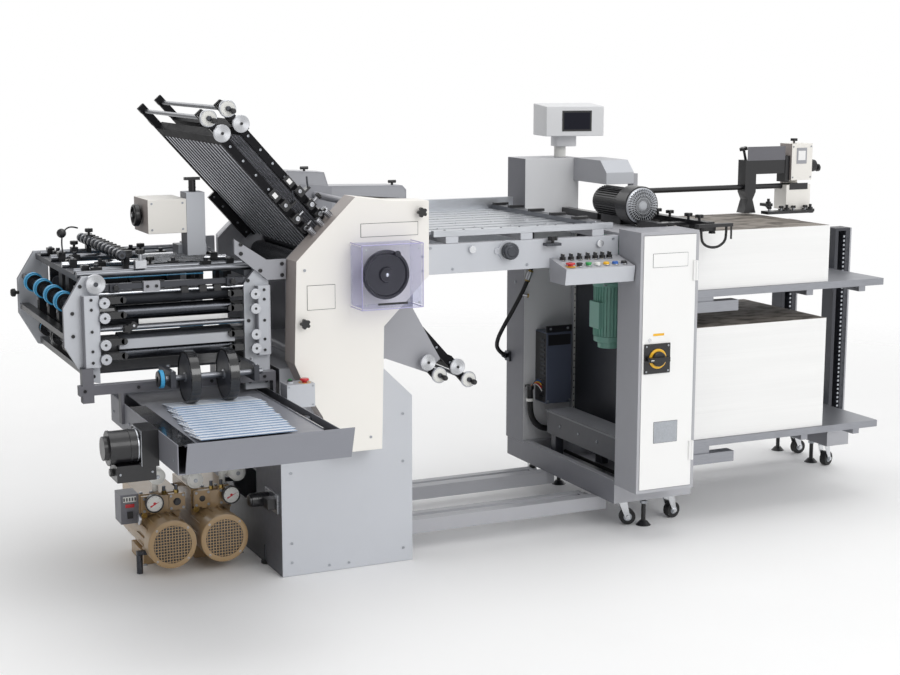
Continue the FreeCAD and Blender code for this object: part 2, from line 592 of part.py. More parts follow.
def make_cross_rods():
    """Ties along Y between the frame plates, and the bright bars and tubes along X that they carry."""
    y_in = CROSS_HALF_DEPTH - CROSS_PLATE
    for x in (-730.0, -290.0):
        node("cross_fittings", box(x, x + 26.0, -y_in, y_in, CROSS_TIE_TOP - 16.0, CROSS_TIE_TOP))
    for y, radius in ((-210.0, 8.0), (GATE_Y, 8.0), (90.0, 10.0), (238.0, 8.0)):
        bar = rod((-730.0, y, CROSS_TIE_TOP + radius), X_AXIS, radius, 466.0)
        node("bright_rods_and_discs", bar)
    tube_z = CROSS_TIE_TOP + 9.0
    node("bright_rods_and_discs", rod((-742.0, -y_in + 16.0, tube_z), X_AXIS, 9.0, 478.0))
    node("bright_rods_and_discs", box(-720.0, -285.0, -y_in, -y_in + 14.0, 846.0, 858.0))
    node("cross_fittings", box(-600.0, -512.0, -y_in - 4.0, -y_in, 842.0, 864.0))
    disc = rod((-703.0, -CROSS_HALF_DEPTH - 22.0, 866.0), Y_AXIS, 26.0, 10.0)
    screw = rod((-703.0, -CROSS_HALF_DEPTH - 12.0, 866.0), Y_AXIS, 7.0, 12.0)
    node("bright_rods_and_discs", join([disc, screw]))
    for y, z, radius in ((-180.0, 752.0, 16.0), (-110.0, 730.0, 12.0), (60.0, 790.0, 20.0), (150.0, 760.0, 20.0)):
        roller = rod((-680.0, y, z), X_AXIS, radius, 366.0)
        ends = [box(x, x + 12.0, y - radius - 4.0, y + radius + 4.0, z - radius - 4.0, CROSS_TIE_TOP - 16.0)
                for x in (-692.0, -314.0)]
        links = [box(-705.0, -680.0, y - 10.0, y + 10.0, CROSS_TIE_TOP - 26.0, CROSS_TIE_TOP - 16.0),
                 box(-314.0, -288.0, y - 10.0, y + 10.0, CROSS_TIE_TOP - 26.0, CROSS_TIE_TOP - 16.0)]
        node("cross_fittings", join([ends[0], links[0]]), join([ends[1], links[1]]))
        node("bright_rods_and_discs", roller)


def make_cross_drive():
    """Pulleys on a shaft along Y at the outer end, and the sheet comb above the bars."""
    reach = CROSS_HALF_DEPTH - CROSS_PLATE
    shaft_x, shaft_z = CROSS_LEFT + 20.0, 812.0
    shaft = rod((shaft_x, -reach, shaft_z), Y_AXIS, 8.0, 2 * reach)
    pulleys = [tube((shaft_x, y, shaft_z), Y_AXIS, 24.0, 8.0, 22.0) for y in (-250.0, -120.0, 20.0, 160.0)]
    node("cross_fittings", join([shaft] + pulleys))
    comb_x = -590.0
    comb = [box(comb_x - 7.0, comb_x + 7.0, -250.0, 250.0, 918.0, 930.0)]
    for index in range(18):
        y = -246.0 + 28.0 * index
        comb.append(box(comb_x - 3.0, comb_x + 3.0, y, y + 14.0, 900.0, 919.0))
    for y in (-210.0, 238.0):
        comb.append(box(comb_x - 7.0, comb_x + 7.0, y - 12.0, y + 12.0, CROSS_TIE_TOP + 2.0, 919.0))
    comb = join(comb)
    for y in (-210.0, 238.0):
        comb = comb.cut(rod((comb_x - 9.0, y, CROSS_TIE_TOP + 8.0), X_AXIS, 8.0, 18.0))
    node("cross_fittings", comb)


def make_gate_box():
    """Cream gearbox with a handwheel on its left face, on a grey post clamped to a bright rail."""
    rod_z = CROSS_TIE_TOP + 8.0
    saddle = box(-520.0, -330.0, GATE_Y - 16.0, GATE_Y + 16.0, CROSS_TIE_TOP + 2.0, 905.0)
    saddle = saddle.cut(rod((-540.0, GATE_Y, rod_z), X_AXIS, 8.0, 230.0))
    node("bright_rods_and_discs", saddle)
    clamp = box(-412.0, -330.0, GATE_Y - 40.0, GATE_Y + 20.0, 905.0, 930.0)
    post = box(-400.0, -347.0, GATE_Y - 90.0, GATE_Y - 30.0, 905.0, 1080.0)
    node("cross_side_plates", join([clamp, post]))
    node("cross_fittings", rod((-374.0, GATE_Y - 60.0, 1080.0), Z_AXIS, 10.0, 32.0),
         box(-396.0, -352.0, GATE_Y - 66.0, GATE_Y - 54.0, 1112.0, 1120.0))
    box_low, wheel_y, wheel_z = 969.0, -75.0, 1016.0
    cream = shell_box(-509.0, -400.0, -150.0, 0.0, box_low, box_low + 94.0, 3.0, "")
    bore = rod((-512.0, wheel_y, wheel_z), X_AXIS, 9.0 + SHAFT_GAP, 20.0)
    node("gate_drive_box", cream.cut(bore))
    wheel = rod((-535.0, wheel_y, wheel_z), X_AXIS, 31.0, 20.0)
    axle = rod((-516.0, wheel_y, wheel_z), X_AXIS, 9.0, 20.0)
    node("gate_handwheel", join([wheel, axle]))


# ---------------------------------------------------------------- delivery
BEAM_NEAR_Y = -CROSS_HALF_DEPTH - 27.0
BEAM_LOW = 574.0
BEAM_HIGH = 599.7
PRESS_ARM_X = (-538.0, -310.0)
PRESS_ARM_WIDTH = 14.0


def make_delivery_frame():
    """Dark beam across the cross unit's near face with two bearing arms and two table hangers."""
    parts = [box(-756.0, TRAY_RIGHT + 8.0, BEAM_NEAR_Y, -CROSS_HALF_DEPTH, BEAM_LOW, BEAM_HIGH)]
    parts.append(box(-748.0, -718.0, BEAM_NEAR_Y, -CROSS_HALF_DEPTH, BEAM_LOW - 20.0, 646.0))
    for x in PRESS_ARM_X:
        parts.append(box(x, x + PRESS_ARM_WIDTH, PRESS_SHAFT_Y - 22.0, -CROSS_HALF_DEPTH - 1.0,
                         PRESS_SHAFT_Z - 22.0, PRESS_SHAFT_Z + 20.0))
    for x in (TRAY_LEFT - 8.0, TRAY_RIGHT):
        parts.append(box(x, x + 8.0, BEAM_NEAR_Y, -CROSS_HALF_DEPTH, TABLE_LEVEL - 50.0, BEAM_HIGH))
    frame = join(parts)
    bore = rod((-600.0, PRESS_SHAFT_Y, PRESS_SHAFT_Z), X_AXIS, PRESS_SHAFT_RADIUS + SHAFT_GAP, 400.0)
    node("cross_fittings", frame.cut(bore))


def make_press_shaft():
    """Shaft with two broad press discs, collars and a belt pulley."""
    start = PRESS_ARM_X[0] - 30.0
    length = PRESS_ARM_X[1] + PRESS_ARM_WIDTH + 14.0 - start
    parts = [rod((start, PRESS_SHAFT_Y, PRESS_SHAFT_Z), X_AXIS, PRESS_SHAFT_RADIUS, length)]
    for x in PRESS_DISC_X:
        parts.append(rod((x - PRESS_DISC_WIDTH / 2, PRESS_SHAFT_Y, PRESS_SHAFT_Z), X_AXIS, PRESS_DISC_RADIUS,
                         PRESS_DISC_WIDTH))
        parts.append(rod((x + PRESS_DISC_WIDTH / 2, PRESS_SHAFT_Y, PRESS_SHAFT_Z), X_AXIS, 15.0, 14.0))
    parts.append(rod((start, PRESS_SHAFT_Y, PRESS_SHAFT_Z), X_AXIS, 21.0, 18.0))
    node("press_shaft", join(parts))


def make_tray():
    """Sheet-metal delivery table with side walls, a sloping near lip and a drive roller."""
    low = TABLE_LEVEL - TRAY_DEPTH
    wall_top = TABLE_LEVEL + 4.0
    parts = [
        box(TRAY_LEFT, TRAY_LEFT + TRAY_WALL, TRAY_NEAR, TRAY_FAR, low, wall_top),
        box(TRAY_RIGHT - TRAY_WALL, TRAY_RIGHT, TRAY_NEAR, TRAY_FAR, low, wall_top),
        box(TRAY_LEFT, TRAY_RIGHT, TRAY_NEAR, TRAY_FAR, low, low + TRAY_WALL),
        box(TRAY_LEFT, TRAY_RIGHT, TRAY_FAR - TRAY_WALL, TRAY_FAR, low, wall_top),
        box(TRAY_LEFT + 42.0, TRAY_RIGHT - 36.0, TRAY_NEAR, TRAY_FAR, TABLE_LEVEL - TRAY_WALL, TABLE_LEVEL),
    ]
    lip = [(TRAY_NEAR, TABLE_LEVEL - TRAY_WALL), (TRAY_NEAR - 26.0, TABLE_LEVEL + 7.0),
           (TRAY_NEAR - 26.0, TABLE_LEVEL + 11.0), (TRAY_NEAR, TABLE_LEVEL + 2.0)]
    parts.append(prism_x(lip, TRAY_LEFT + 18.0, TRAY_RIGHT + 28.0))
    apron = [(TRAY_NEAR - 26.0, TABLE_LEVEL + 11.0), (TRAY_NEAR - 26.0, TABLE_LEVEL + 7.0), (TRAY_NEAR - 1.0, low),
             (TRAY_NEAR + 3.0, low), (TRAY_NEAR + 3.0, low + 3.0)]
    parts.append(prism_x(apron, TRAY_LEFT + 18.0, TRAY_RIGHT + 28.0))
    node("delivery_table", join(parts))
    roller_z = TABLE_LEVEL - TRAY_WALL - 18.0
    node("cross_fittings", rod((TRAY_LEFT + TRAY_WALL, DRIVE_ROLLER_Y, roller_z), X_AXIS, 17.0,
                                TRAY_RIGHT - TRAY_LEFT - 2 * TRAY_WALL))


def make_sheets():
    """Shingled folded sheets, each lying on the back of the one before it."""
    pitch = 27.0
    length = 110.0
    thick = 2.4
    slope = (thick + 0.2) / pitch
    for index in range(SHEET_COUNT):
        near = TRAY_NEAR - 6.0 + pitch * index
        far = near + length
        drift = 2.8 * index + 3.0 * math.sin(2.1 * index)
        rise = slope * length
        outline = [(near, TABLE_LEVEL + rise + 0.2), (far, TABLE_LEVEL + 0.2), (far, TABLE_LEVEL + 0.2 + thick),
                   (near, TABLE_LEVEL + rise + 0.2 + thick)]
        node("folded_sheets", prism_x(outline, -583.0 + drift, -341.0 + drift))


def make_delivery_motor():
    """Black motor with gearbox and terminal box on the table's left wall."""
    y = DRIVE_ROLLER_Y
    z = TABLE_LEVEL - 38.0
    gearbox = box(TRAY_LEFT - 42.0, TRAY_LEFT, y - 46.0, y + 46.0, z - 46.0, z + 46.0)
    motor = rod((TRAY_LEFT - 118.0, y, z), X_AXIS, 42.0, 78.0)
    neck = rod((TRAY_LEFT - 130.0, y, z), X_AXIS, 30.0, 14.0)
    terminals = box(TRAY_LEFT - 104.0, TRAY_LEFT - 6.0, y - 38.0, y + 38.0, z - 82.0, z - 40.0)
    node("delivery_motor", join([gearbox, motor, neck, terminals]))


def make_delivery_stop_box():
    """Small grey box with a stop button and a lamp, on a bracket from the side cover's near face."""
    x0, x1, top = TRAY_RIGHT + 0.5, -146.0, 580.0
    body = box(x0, x1, -466.0, COVER_NEAR_Y - 3.0, top - 64.0, top)
    bracket = box(x0 + 10.0, -138.0, COVER_NEAR_Y - 3.0, COVER_NEAR_Y, top - 36.0, top - 6.0)
    button_x, button_y = x1 - 22.0, -444.0
    well = rod((button_x, button_y, top - 14.0), Z_AXIS, 7.0 + SHAFT_GAP, 20.0)
    node("control_box", join([body, bracket]).cut(well))
    head = rod((button_x, button_y, top + 4.6), Z_AXIS, 13.0, 8.0)
    stem = rod((button_x, button_y, top - 8.0), Z_AXIS, 7.0, 13.0)
    node("delivery_stop_button", join([head, stem]))
    node("control_box", rod((x0 + 18.0, -438.0, top), Z_AXIS, 9.0, 5.0))


# ---------------------------------------------------------------- vacuum pumps
def make_pumps():
    """Two rotary vacuum pumps with a shared switch box, gauges and intake filters."""
    for x in PUMP_X:
        cowl = rod((x, PUMP_NEAR_Y, PUMP_Z), Y_AXIS, PUMP_RADIUS, 46.0)
        barrel = rod((x, PUMP_NEAR_Y + 40.0, PUMP_Z), Y_AXIS, PUMP_RADIUS - 7.0, 300.0)
        body = join([cowl, barrel])
        body = body.cut(box(x - 100, x + 100, PUMP_NEAR_Y - 1, 200, -50, PUMP_FLAT_Z))
        foot = box(x - 46.0, x + 46.0, -50.0, 90.0, FLOOR, PUMP_FLAT_Z + 6.0)
        block = box(x - 58.0, x + 58.0, -70.0, 130.0, PUMP_Z + 40.0, PUMP_Z + 118.0)
        head = box(x - 32.0, x + 24.0, -90.0, -60.0, PUMP_Z + 62.0, PUMP_Z + 112.0)
        node("pump_bodies", join([body, foot, block, head]))
    for x, seat in ((-505.0, -90.0), (-278.0, -70.0)):
        gauge = rod((x, -112.0, 196.0), Y_AXIS, 24.0, 20.0)
        stem = rod((x, -92.0, 196.0), Y_AXIS, 7.0, seat + 92.0)
        node("pump_fittings", join([gauge, stem]))
    block_top = PUMP_Z + 118.0
    for x, z, foot_x in ((-485.0, 264.0, -485.0), (-374.0, 241.0, -374.0), (-246.0, 249.0, -285.0)):
        bowl = rod((x, -75.0, z), Y_AXIS, 24.0, 60.0)
        pieces = [bowl, rod((foot_x, -45.0, block_top), Z_AXIS, 9.0, z + 10.0 - block_top)]
        if foot_x != x:
            pieces.append(rod((foot_x, -45.0, z), X_AXIS, 8.0, x - foot_x))
        node("pump_fittings", join(pieces))
    node("pump_fittings", rod((PUMP_X[0] + 58.0, 120.0, 180.0), X_AXIS, 7.0, PUMP_X[1] - PUMP_X[0] - 116.0))
    node("pump_fittings", rod((PUMP_X[1] + 58.0, 120.0, 180.0), X_AXIS, 7.0, STAND_LEFT - PUMP_X[1] - 58.0))
    node("pump_fittings", box(-590.0, PUMP_X[0] - 58.0, -60.0, 10.0, 130.0, 216.0))
    arm = box(PUMP_X[0] - 84.0, PUMP_X[0] - 40.0, -130.0, -116.0, 54.0, 66.0)
    pad = rod((PUMP_X[0] - 76.0, -123.0, FLOOR), Z_AXIS, 9.0, 54.0)
    barrel = rod((PUMP_X[0], PUMP_NEAR_Y, PUMP_Z), Y_AXIS, PUMP_RADIUS - 7.0, 340.0)
    node("pump_fittings", join([arm, pad]).cut(barrel))


# ---------------------------------------------------------------- register table
CONTROL_LEFT = 635.0
CONTROL_RIGHT = 866.0
CONTROL_NEAR_Y = -TABLE_HALF_DEPTH - 103.0
CONTROL_LOW = 798.0
CONTROL_BACK_TOP = 868.0
CONTROL_FRONT_TOP = 845.0
LOWER_ROW_X = (660.0, 690.0, 720.0, 750.0, 780.0, 810.0, 840.0)
UPPER_ROW_X = (664.0, 692.0, 720.0, 748.0, 774.0, 798.0, 822.0)


def make_table():
    """Side frames, cross beams, slats along the paper's way, the side guide and its clamps."""
    far = TABLE_HALF_DEPTH
    near_in = -far + TABLE_FRAME_THICK
    for y0 in (-far, far - TABLE_FRAME_THICK):
        node("table_frames", box(TABLE_FRAME_LEFT, TABLE_RIGHT, y0, y0 + TABLE_FRAME_THICK, TABLE_FRAME_LOW, TABLE_FRAME_TOP))
    for x in (300.0, 540.0, 780.0):
        node("table_frames", box(x, x + 40.0, -far + 3.0, far - 3.0, TABLE_FRAME_TOP, SLAT_TOP - 10.0))
    span = 2 * (far - TABLE_FRAME_THICK) - 60.0
    pitch = (span - SLAT_WIDTH) / (SLAT_COUNT - 1)
    for index in range(SLAT_COUNT):
        y0 = -span / 2 + 10.0 + pitch * index
        node("table_slats", box(TABLE_LEFT, TABLE_RIGHT, y0, y0 + SLAT_WIDTH, SLAT_TOP - 10.0, SLAT_TOP))
    node("table_slats", box(262.0, 852.0, -far + 4.0, near_in - 2.0, SLAT_TOP - 10.0, SLAT_TOP + 8.0))
    node("table_slats", box(262.0, 852.0, far - 43.0, far - 27.0, SLAT_TOP - 10.0, SLAT_TOP + 36.0))
    node("table_slats", box(770.0, 800.0, near_in - 2.0, far - 43.0, SLAT_TOP, SLAT_TOP + 14.0))
    node("fixed_knobs", star_knob((636.0, -far - 16.0, 914.0), Z_AXIS, 15.0, 8.0))
    node("fixed_knobs", box(612.0, 660.0, -far - 26.0, -far, 906.0, 914.0))
    knob = rod((495.0, -far - 34.0, 897.0), Y_AXIS, 24.0, 26.0)
    knob_stem = rod((495.0, -far - 8.0, 897.0), Y_AXIS, 9.0, 8.0 - SHAFT_GAP)
    node("table_side_knob", join([knob, knob_stem]))
    flange = rod((495.0, -far - 5.0, 897.0), Y_AXIS, 30.0, 5.0)
    ear = box(452.0, 538.0, -far - 5.0, -far, 888.0, 906.0)
    flange = join([flange, rounded(ear, 8.0, Y_AXIS)]).cut(rod((495.0, -far - 6.0, 897.0), Y_AXIS, 9.5, 8.0))
    node("table_slats", flange)
    for x, z in ((380.0, 906.0), (802.0, 904.0)):
        node("table_slats", rod((x, -far - 10.0, z), Y_AXIS, 11.0, 10.0))


def make_control_box():
    """Sloping operator's box under the table edge with its knobs, lamps and buttons."""
    y_back = -TABLE_HALF_DEPTH
    outline = [(y_back, CONTROL_LOW), (y_back, CONTROL_BACK_TOP), (CONTROL_NEAR_Y, CONTROL_FRONT_TOP),
               (CONTROL_NEAR_Y + 8.0, CONTROL_LOW)]
    body = prism_x(outline, CONTROL_LEFT, CONTROL_RIGHT)
    slope = (CONTROL_BACK_TOP - CONTROL_FRONT_TOP) / (y_back - CONTROL_NEAR_Y)

    def top_at(y):
        return CONTROL_FRONT_TOP + slope * (y - CONTROL_NEAR_Y)

    lower_y = CONTROL_NEAR_Y + 22.0
    upper_y = y_back - 26.0
    names = ("estop_button", "stop_button", "start_button")
    for index, x in enumerate(LOWER_ROW_X):
        well = rod((x, lower_y, top_at(lower_y) - 14.0), Z_AXIS, 8.0, 40.0)
        head_z = top_at(lower_y) + 2.6
        if index < len(names):
            body = body.cut(well)
            radius = 14.0 if index == 0 else 9.5
            stem = rod((x, lower_y, head_z - 9.0), Z_AXIS, 8.0 - 0.15, 9.0)
            lift = 4.0 if index == 0 else 2.6
            head = rod((x, lower_y, head_z + lift), Z_AXIS, radius, 6.0)
            neck = rod((x, lower_y, head_z - 1.0), Z_AXIS, 8.0 - 0.15, lift + 1.5)
            node(names[index], join([stem, neck, head]))
        else:
            node("fixed_knobs", rod((x, lower_y, top_at(lower_y) - 3.0), Z_AXIS, 9.0, 9.0))
            body = body.cut(rod((x, lower_y, top_at(lower_y) - 3.0), Z_AXIS, 9.0, 30.0))
    for x in UPPER_ROW_X:
        base_z = top_at(upper_y) - 3.0
        stem = rod((x, upper_y, base_z), Z_AXIS, 9.0, 13.0)
        grip = box(x - 2.5, x + 2.5, upper_y - 8.0, upper_y + 8.0, base_z + 13.0, base_z + 22.0)
        node("fixed_knobs", join([stem, grip]))
        body = body.cut(rod((x, upper_y, base_z), Z_AXIS, 9.0, 30.0))
    node("control_box", body)


# ---------------------------------------------------------------- feeder
def caster(x, y, top, turn_deg):
    """Swivel caster from its top plate down to the floor."""
    wheel_radius = 25.0
    plate = box(x - 24.0, x + 24.0, y - 24.0, y + 24.0, top - 4.0, top)
    stem = rod((x, y, top - 16.0), Z_AXIS, 11.0, 13.0)
    cheek_top = top - 14.0
    cheeks = []
    for side in (-1, 1):
        y0 = 14.0 * side - 1.5
        cheeks.append(prism_y([(-14.0, cheek_top), (14.0, cheek_top), (26.0, wheel_radius - 6.0),
                               (12.0, wheel_radius - 8.0)], y0, y0 + 3.0))
    cheeks.append(box(-14.0, 14.0, -15.5, 15.5, cheek_top - 3.0, cheek_top))
    cheeks.append(rod((18.0, -15.5, wheel_radius), Y_AXIS, 5.0, 31.0))
    wheel = rod((18.0, -11.0, wheel_radius), Y_AXIS, wheel_radius, 22.0)
    fork = join(cheeks)
    wheel = wheel.cut(rod((18.0, -12.0, wheel_radius), Y_AXIS, 5.0, 24.0))
    for shape in (fork, wheel):
        shape.rotate(V(0, 0, 0), Z_AXIS, turn_deg)
        shape.translate(V(x, y, 0))
    node("casters_and_feet", join([plate, stem, fork]))
    node("casters_and_feet", wheel)


def levelling_foot(x, y, top):
    """Threaded stem in a round rubber foot."""
    base = Part.makeCone(24.0, 11.0, 14.0, V(x, y, FLOOR))
    node("casters_and_feet", join([base, rod((x, y, 10.0), Z_AXIS, 7.0, top - 10.0)]))


def make_base():
    """Floor rails to the stand, the feeder's base channel, and the outrigger under the columns."""
    for y0 in (-250.0, 90.0):
        rail = box(STAND_RIGHT, 902.0, y0, y0 + 40.0, 50.0, BASE_LOW)
        node("base_frame", rail)
        strip = box(STAND_RIGHT, 880.0, y0 + 110.0, y0 + 140.0, 50.0, 78.0)
        node("base_frame", strip)
        foot = box(860.0, 888.0, y0 + 40.0, y0 + 110.0, 50.0, 78.0)
        node("base_frame", foot)
    outer = box(FEEDER_LEFT, BASE_RIGHT, CABINET_FAR_Y, REAR_NEAR_Y, BASE_LOW, BASE_HIGH)
    inner = box(FEEDER_LEFT + 24.0, BASE_RIGHT - 24.0, CABINET_FAR_Y + 24.0, REAR_NEAR_Y - 24.0,
                BASE_LOW + 8.0, BASE_HIGH + 1)
    far_shelf = box(FEEDER_LEFT, BASE_RIGHT, REAR_NEAR_Y, REAR_FAR_Y - 10.0, BASE_LOW, CABINET_LOW)
    node("base_frame", join([outer.cut(inner), far_shelf]))
    node("base_frame", box(BASE_RIGHT, COLUMN_X0, 150.0, 210.0, 100.0, 150.0))
    node("base_frame", box(COLUMN_X0, COLUMN_X1 + 28.0, COLUMN_NEAR_Y, COLUMN_FAR_Y + COLUMN_DEPTH + 20.0,
                           BASE_LOW, BASE_LOW + 50.0))
    casters = [
        (946.0, -270.0, -20.0), (1116.0, -270.0, 10.0), (946.0, 330.0, 60.0), (1116.0, 330.0, 10.0),
        (COLUMN_X1 - 14.0, 67.0, 20.0), (COLUMN_X1 + 2.0, 262.0, 0.0),
    ]
    for x, y, turn in casters:
        caster(x, y, BASE_LOW, turn)
    cabinet_foot = FEEDER_LEFT + 135.0
    column_foot = COLUMN_X1 - 20.0
    for x, y in ((cabinet_foot, -305.0), (cabinet_foot, 245.0), (column_foot, 130.0), (column_foot, 330.0)):
        levelling_foot(x, y, BASE_LOW)


def make_cabinets():
    """Control cabinet with its framed door, the rear cabinet, the hood and the feed deck."""
    near, far = CABINET_NEAR_Y, CABINET_FAR_Y
    body = shell_box(FEEDER_LEFT, FEEDER_RIGHT, near, far, CABINET_LOW, CABINET_HIGH, 2.5, "-y")
    rim = box(FEEDER_LEFT, FEEDER_RIGHT, near, near + 8.0, CABINET_LOW, CABINET_HIGH).cut(
        box(FEEDER_LEFT + DOOR_INSET, FEEDER_RIGHT - DOOR_INSET, near - 1, near + 9.0, CABINET_LOW + DOOR_INSET,
            CABINET_HIGH - DOOR_INSET))
    node("control_cabinet", join([body, rim]))
    gap = 1.0
    door = box(FEEDER_LEFT + DOOR_INSET + gap, FEEDER_RIGHT - DOOR_INSET - gap, near - 1.0, near - 1.0 + DOOR_THICK,
               CABINET_LOW + DOOR_INSET + gap, CABINET_HIGH - DOOR_INSET - gap)
    hinge_x = FEEDER_RIGHT - DOOR_INSET - gap
    hinge_y = near - 6.0
    for z in (CABINET_LOW + 90.0, CABINET_HIGH - 150.0):
        door = door.fuse(box(hinge_x - 10.0, hinge_x + gap - RUN_GAP, near - 7.0, near, z, z + 60.0))
        door = door.fuse(rod((hinge_x, hinge_y, z), Z_AXIS, HINGE_RADIUS, 60.0))
    isolator_x, isolator_z = 932.0, 566.0
    door = door.cut(rod((isolator_x, near - 10, isolator_z), Y_AXIS, 6.0 + SHAFT_GAP, 20.0))
    door = door.removeSplitter()
    node("cabinet_door", door)
    plate = box(isolator_x - 45.0, isolator_x + 45.0, near - 5.0, near - 1.0, isolator_z - 45.0, isolator_z + 45.0)
    plate = plate.cut(rod((isolator_x, near - 10, isolator_z), Y_AXIS, 6.0 + SHAFT_GAP, 20.0))
    node("cabinet_door", plate)
    ring = rod((isolator_x, near - 11.0, isolator_z), Y_AXIS, 30.0, 5.7)
    grip = box(isolator_x - 38.0, isolator_x + 30.0, near - 30.0, near - 11.0, isolator_z - 7.0, isolator_z + 7.0)
    pin = rod((isolator_x, near - 12.0, isolator_z), Y_AXIS, 6.0, 19.0)
    node("isolator_knob", join([ring, grip, pin]))
    rear = shell_box(FEEDER_LEFT, FEEDER_RIGHT, REAR_NEAR_Y, REAR_FAR_Y, CABINET_LOW, HOOD_TOP, 2.5, "")
    slope_y = HOOD_ARM_NEAR_Y + 40.0
    arm = prism_x([(REAR_NEAR_Y, HOOD_ARM_LOW), (REAR_NEAR_Y, HOOD_TOP), (slope_y, HOOD_TOP),
                   (HOOD_ARM_NEAR_Y, HOOD_TOP - 38.0), (HOOD_ARM_NEAR_Y, HOOD_ARM_LOW)],
                  FEEDER_RIGHT - 20.0, HOOD_ARM_RIGHT)
    arm_core = prism_x([(REAR_NEAR_Y + 1, HOOD_ARM_LOW + 2.5), (REAR_NEAR_Y + 1, HOOD_TOP - 2.5),
                        (slope_y, HOOD_TOP - 2.5), (HOOD_ARM_NEAR_Y + 2.5, HOOD_TOP - 39.0),
                        (HOOD_ARM_NEAR_Y + 2.5, HOOD_ARM_LOW + 2.5)], FEEDER_RIGHT - 17.5, HOOD_ARM_RIGHT - 2.5)
    node("rear_cabinet", rear)
    node("rear_cabinet", arm.cut(arm_core))
    node("rear_cabinet", box(FEEDER_LEFT, FEEDER_RIGHT - 4.0, far, REAR_NEAR_Y, CABINET_HIGH - 24.0,
                            CABINET_HIGH - 12.0))
    node("rear_cabinet", shell_box(915.0, 1010.0, REAR_NEAR_Y - 80.0, REAR_NEAR_Y, 302.0, 544.0, 2.0, ""))


def make_drive_parts():
    """Lift motor on its platform, cable duct, blower and its hanger."""
    node("rear_cabinet", shell_box(905.0, 1000.0, CABINET_FAR_Y + 6.0, 150.0, DUCT_LOW, 290.0, 2.0, ""))
    for y0 in (CABINET_FAR_Y + 30.0, 90.0):
        node("rear_cabinet", box(905.0, 935.0, y0, y0 + 30.0, BASE_LOW + 8.0, DUCT_LOW))
    wall_x = FEEDER_RIGHT - 17.0
    node("rear_cabinet", box(wall_x, wall_x + 3.0, CABINET_FAR_Y, REAR_NEAR_Y, BASE_HIGH, CABINET_HIGH - 24.0))
    node("rear_cabinet", box(wall_x - 12.0, wall_x, REAR_NEAR_Y - 26.0, REAR_NEAR_Y - 10.0, BASE_HIGH,
                            CABINET_HIGH - 24.0))
    y = -120.0
    body = rod((978.0, y, 560.0), Z_AXIS, 46.0, 190.0)
    cap = rod((978.0, y, 540.0), Z_AXIS, 36.0, 22.0)
    terminals = box(922.0, 950.0, y - 30.0, y + 30.0, 605.0, 690.0)
    node("lift_motor", join([body, cap, terminals]))
    node("lift_motor", box(920.0, 1050.0, y - 60.0, y + 60.0, 750.0, 860.0))
    node("lift_motor", box(940.0, 1040.0, y - 40.0, y + 40.0, 860.0, CABINET_HIGH - 24.0))
    blower_x, blower_z = 1030.0, 996.0
    deck_top = CABINET_HIGH - 12.0
    motor = rod((blower_x, -160.0, blower_z), Y_AXIS, 45.0, 170.0)
    cowl = rod((blower_x, -215.0, blower_z), Y_AXIS, 60.0, 60.0)
    saddle = box(blower_x - 30.0, blower_x + 26.0, -140.0, -20.0, deck_top, blower_z - 30.0)
    node("blower_motor", join([motor, cowl, saddle]))


def bent_tube(points, radius):
    """Solid round tube along straight runs that tangent arcs join, as wide as their runs allow."""
    corners = [V(*point) for point in points]
    edges = []
    start = corners[0]
    for before, corner, after in zip(corners, corners[1:], corners[2:]):
        first = corner.sub(before)
        second = after.sub(corner)
        reach = 0.45 * min(first.Length, second.Length)
        first.normalize()
        second.normalize()
        half_turn = first.getAngle(second) / 2
        bend = reach / math.tan(half_turn)
        enter = corner.sub(V(first).multiply(reach))
        leave = corner.add(V(second).multiply(reach))
        inward = V(second).sub(first).normalize()
        crown = corner.add(inward.multiply(bend / math.cos(half_turn) - bend))
        edges.append(Part.LineSegment(start, enter).toShape())
        edges.append(Part.Arc(enter, crown, leave).toShape())
        print("bend radius", round(bend, 1), "of a tube", 2 * radius, "wide")
        start = leave
    edges.append(Part.LineSegment(start, corners[-1]).toShape())
    path = Part.Wire(edges)
    ahead = corners[1].sub(corners[0])
    profile = Part.Wire([Part.makeCircle(radius, corners[0], ahead)])
    solid = path.makePipeShell([profile], True, False)
    print("tube volume over section times length", round(solid.Volume / (math.pi * radius ** 2 * path.Length), 4))
    return solid


def make_feeder_lines():
    """Air hose from the feed deck to the rear cabinet, the conduit to the duct, and the fittings they enter."""
    start = HOSE_ROUTE[0]
    node("bright_rods_and_discs", rod(start, Z_AXIS, 11.0, CABINET_HIGH - 24.0 - start[2]))
    end = HOSE_ROUTE[-1]
    lead = V(*end).sub(V(*HOSE_ROUTE[-2])).normalize()
    stub = Part.makeCylinder(10.0, 14.0, V(*end), lead)
    seat = box(FEEDER_LEFT - 8.0, FEEDER_LEFT, end[1] - 14.0, end[1] + 18.0, end[2] - 24.0, end[2] + 10.0)
    node("bright_rods_and_discs", join([stub.cut(box(FEEDER_LEFT, FEEDER_RIGHT, 0, 500, 0, 900)), seat]))
    node("air_hose", bent_tube(HOSE_ROUTE, HOSE_RADIUS))
    node("air_hose", bent_tube(BAR_HOSE_ROUTE, BAR_HOSE_RADIUS))
    node("cable_conduit", bent_tube(CONDUIT_ROUTE, CONDUIT_RADIUS))
    top = CONDUIT_ROUTE[0]
    gland = rod(top, Z_AXIS, 13.0, 12.0)
    hanger = box(top[0] - 8.0, top[0] + 8.0, top[1], REAR_NEAR_Y, top[2] + 4.0, top[2] + 12.0)
    node("pump_fittings", join([gland, hanger]))
    end = CONDUIT_ROUTE[-1]
    node("pump_fittings", box(end[0], end[0] + 15.0, 150.0, end[1] + 16.0, end[2] - 16.0, end[2] + 16.0))


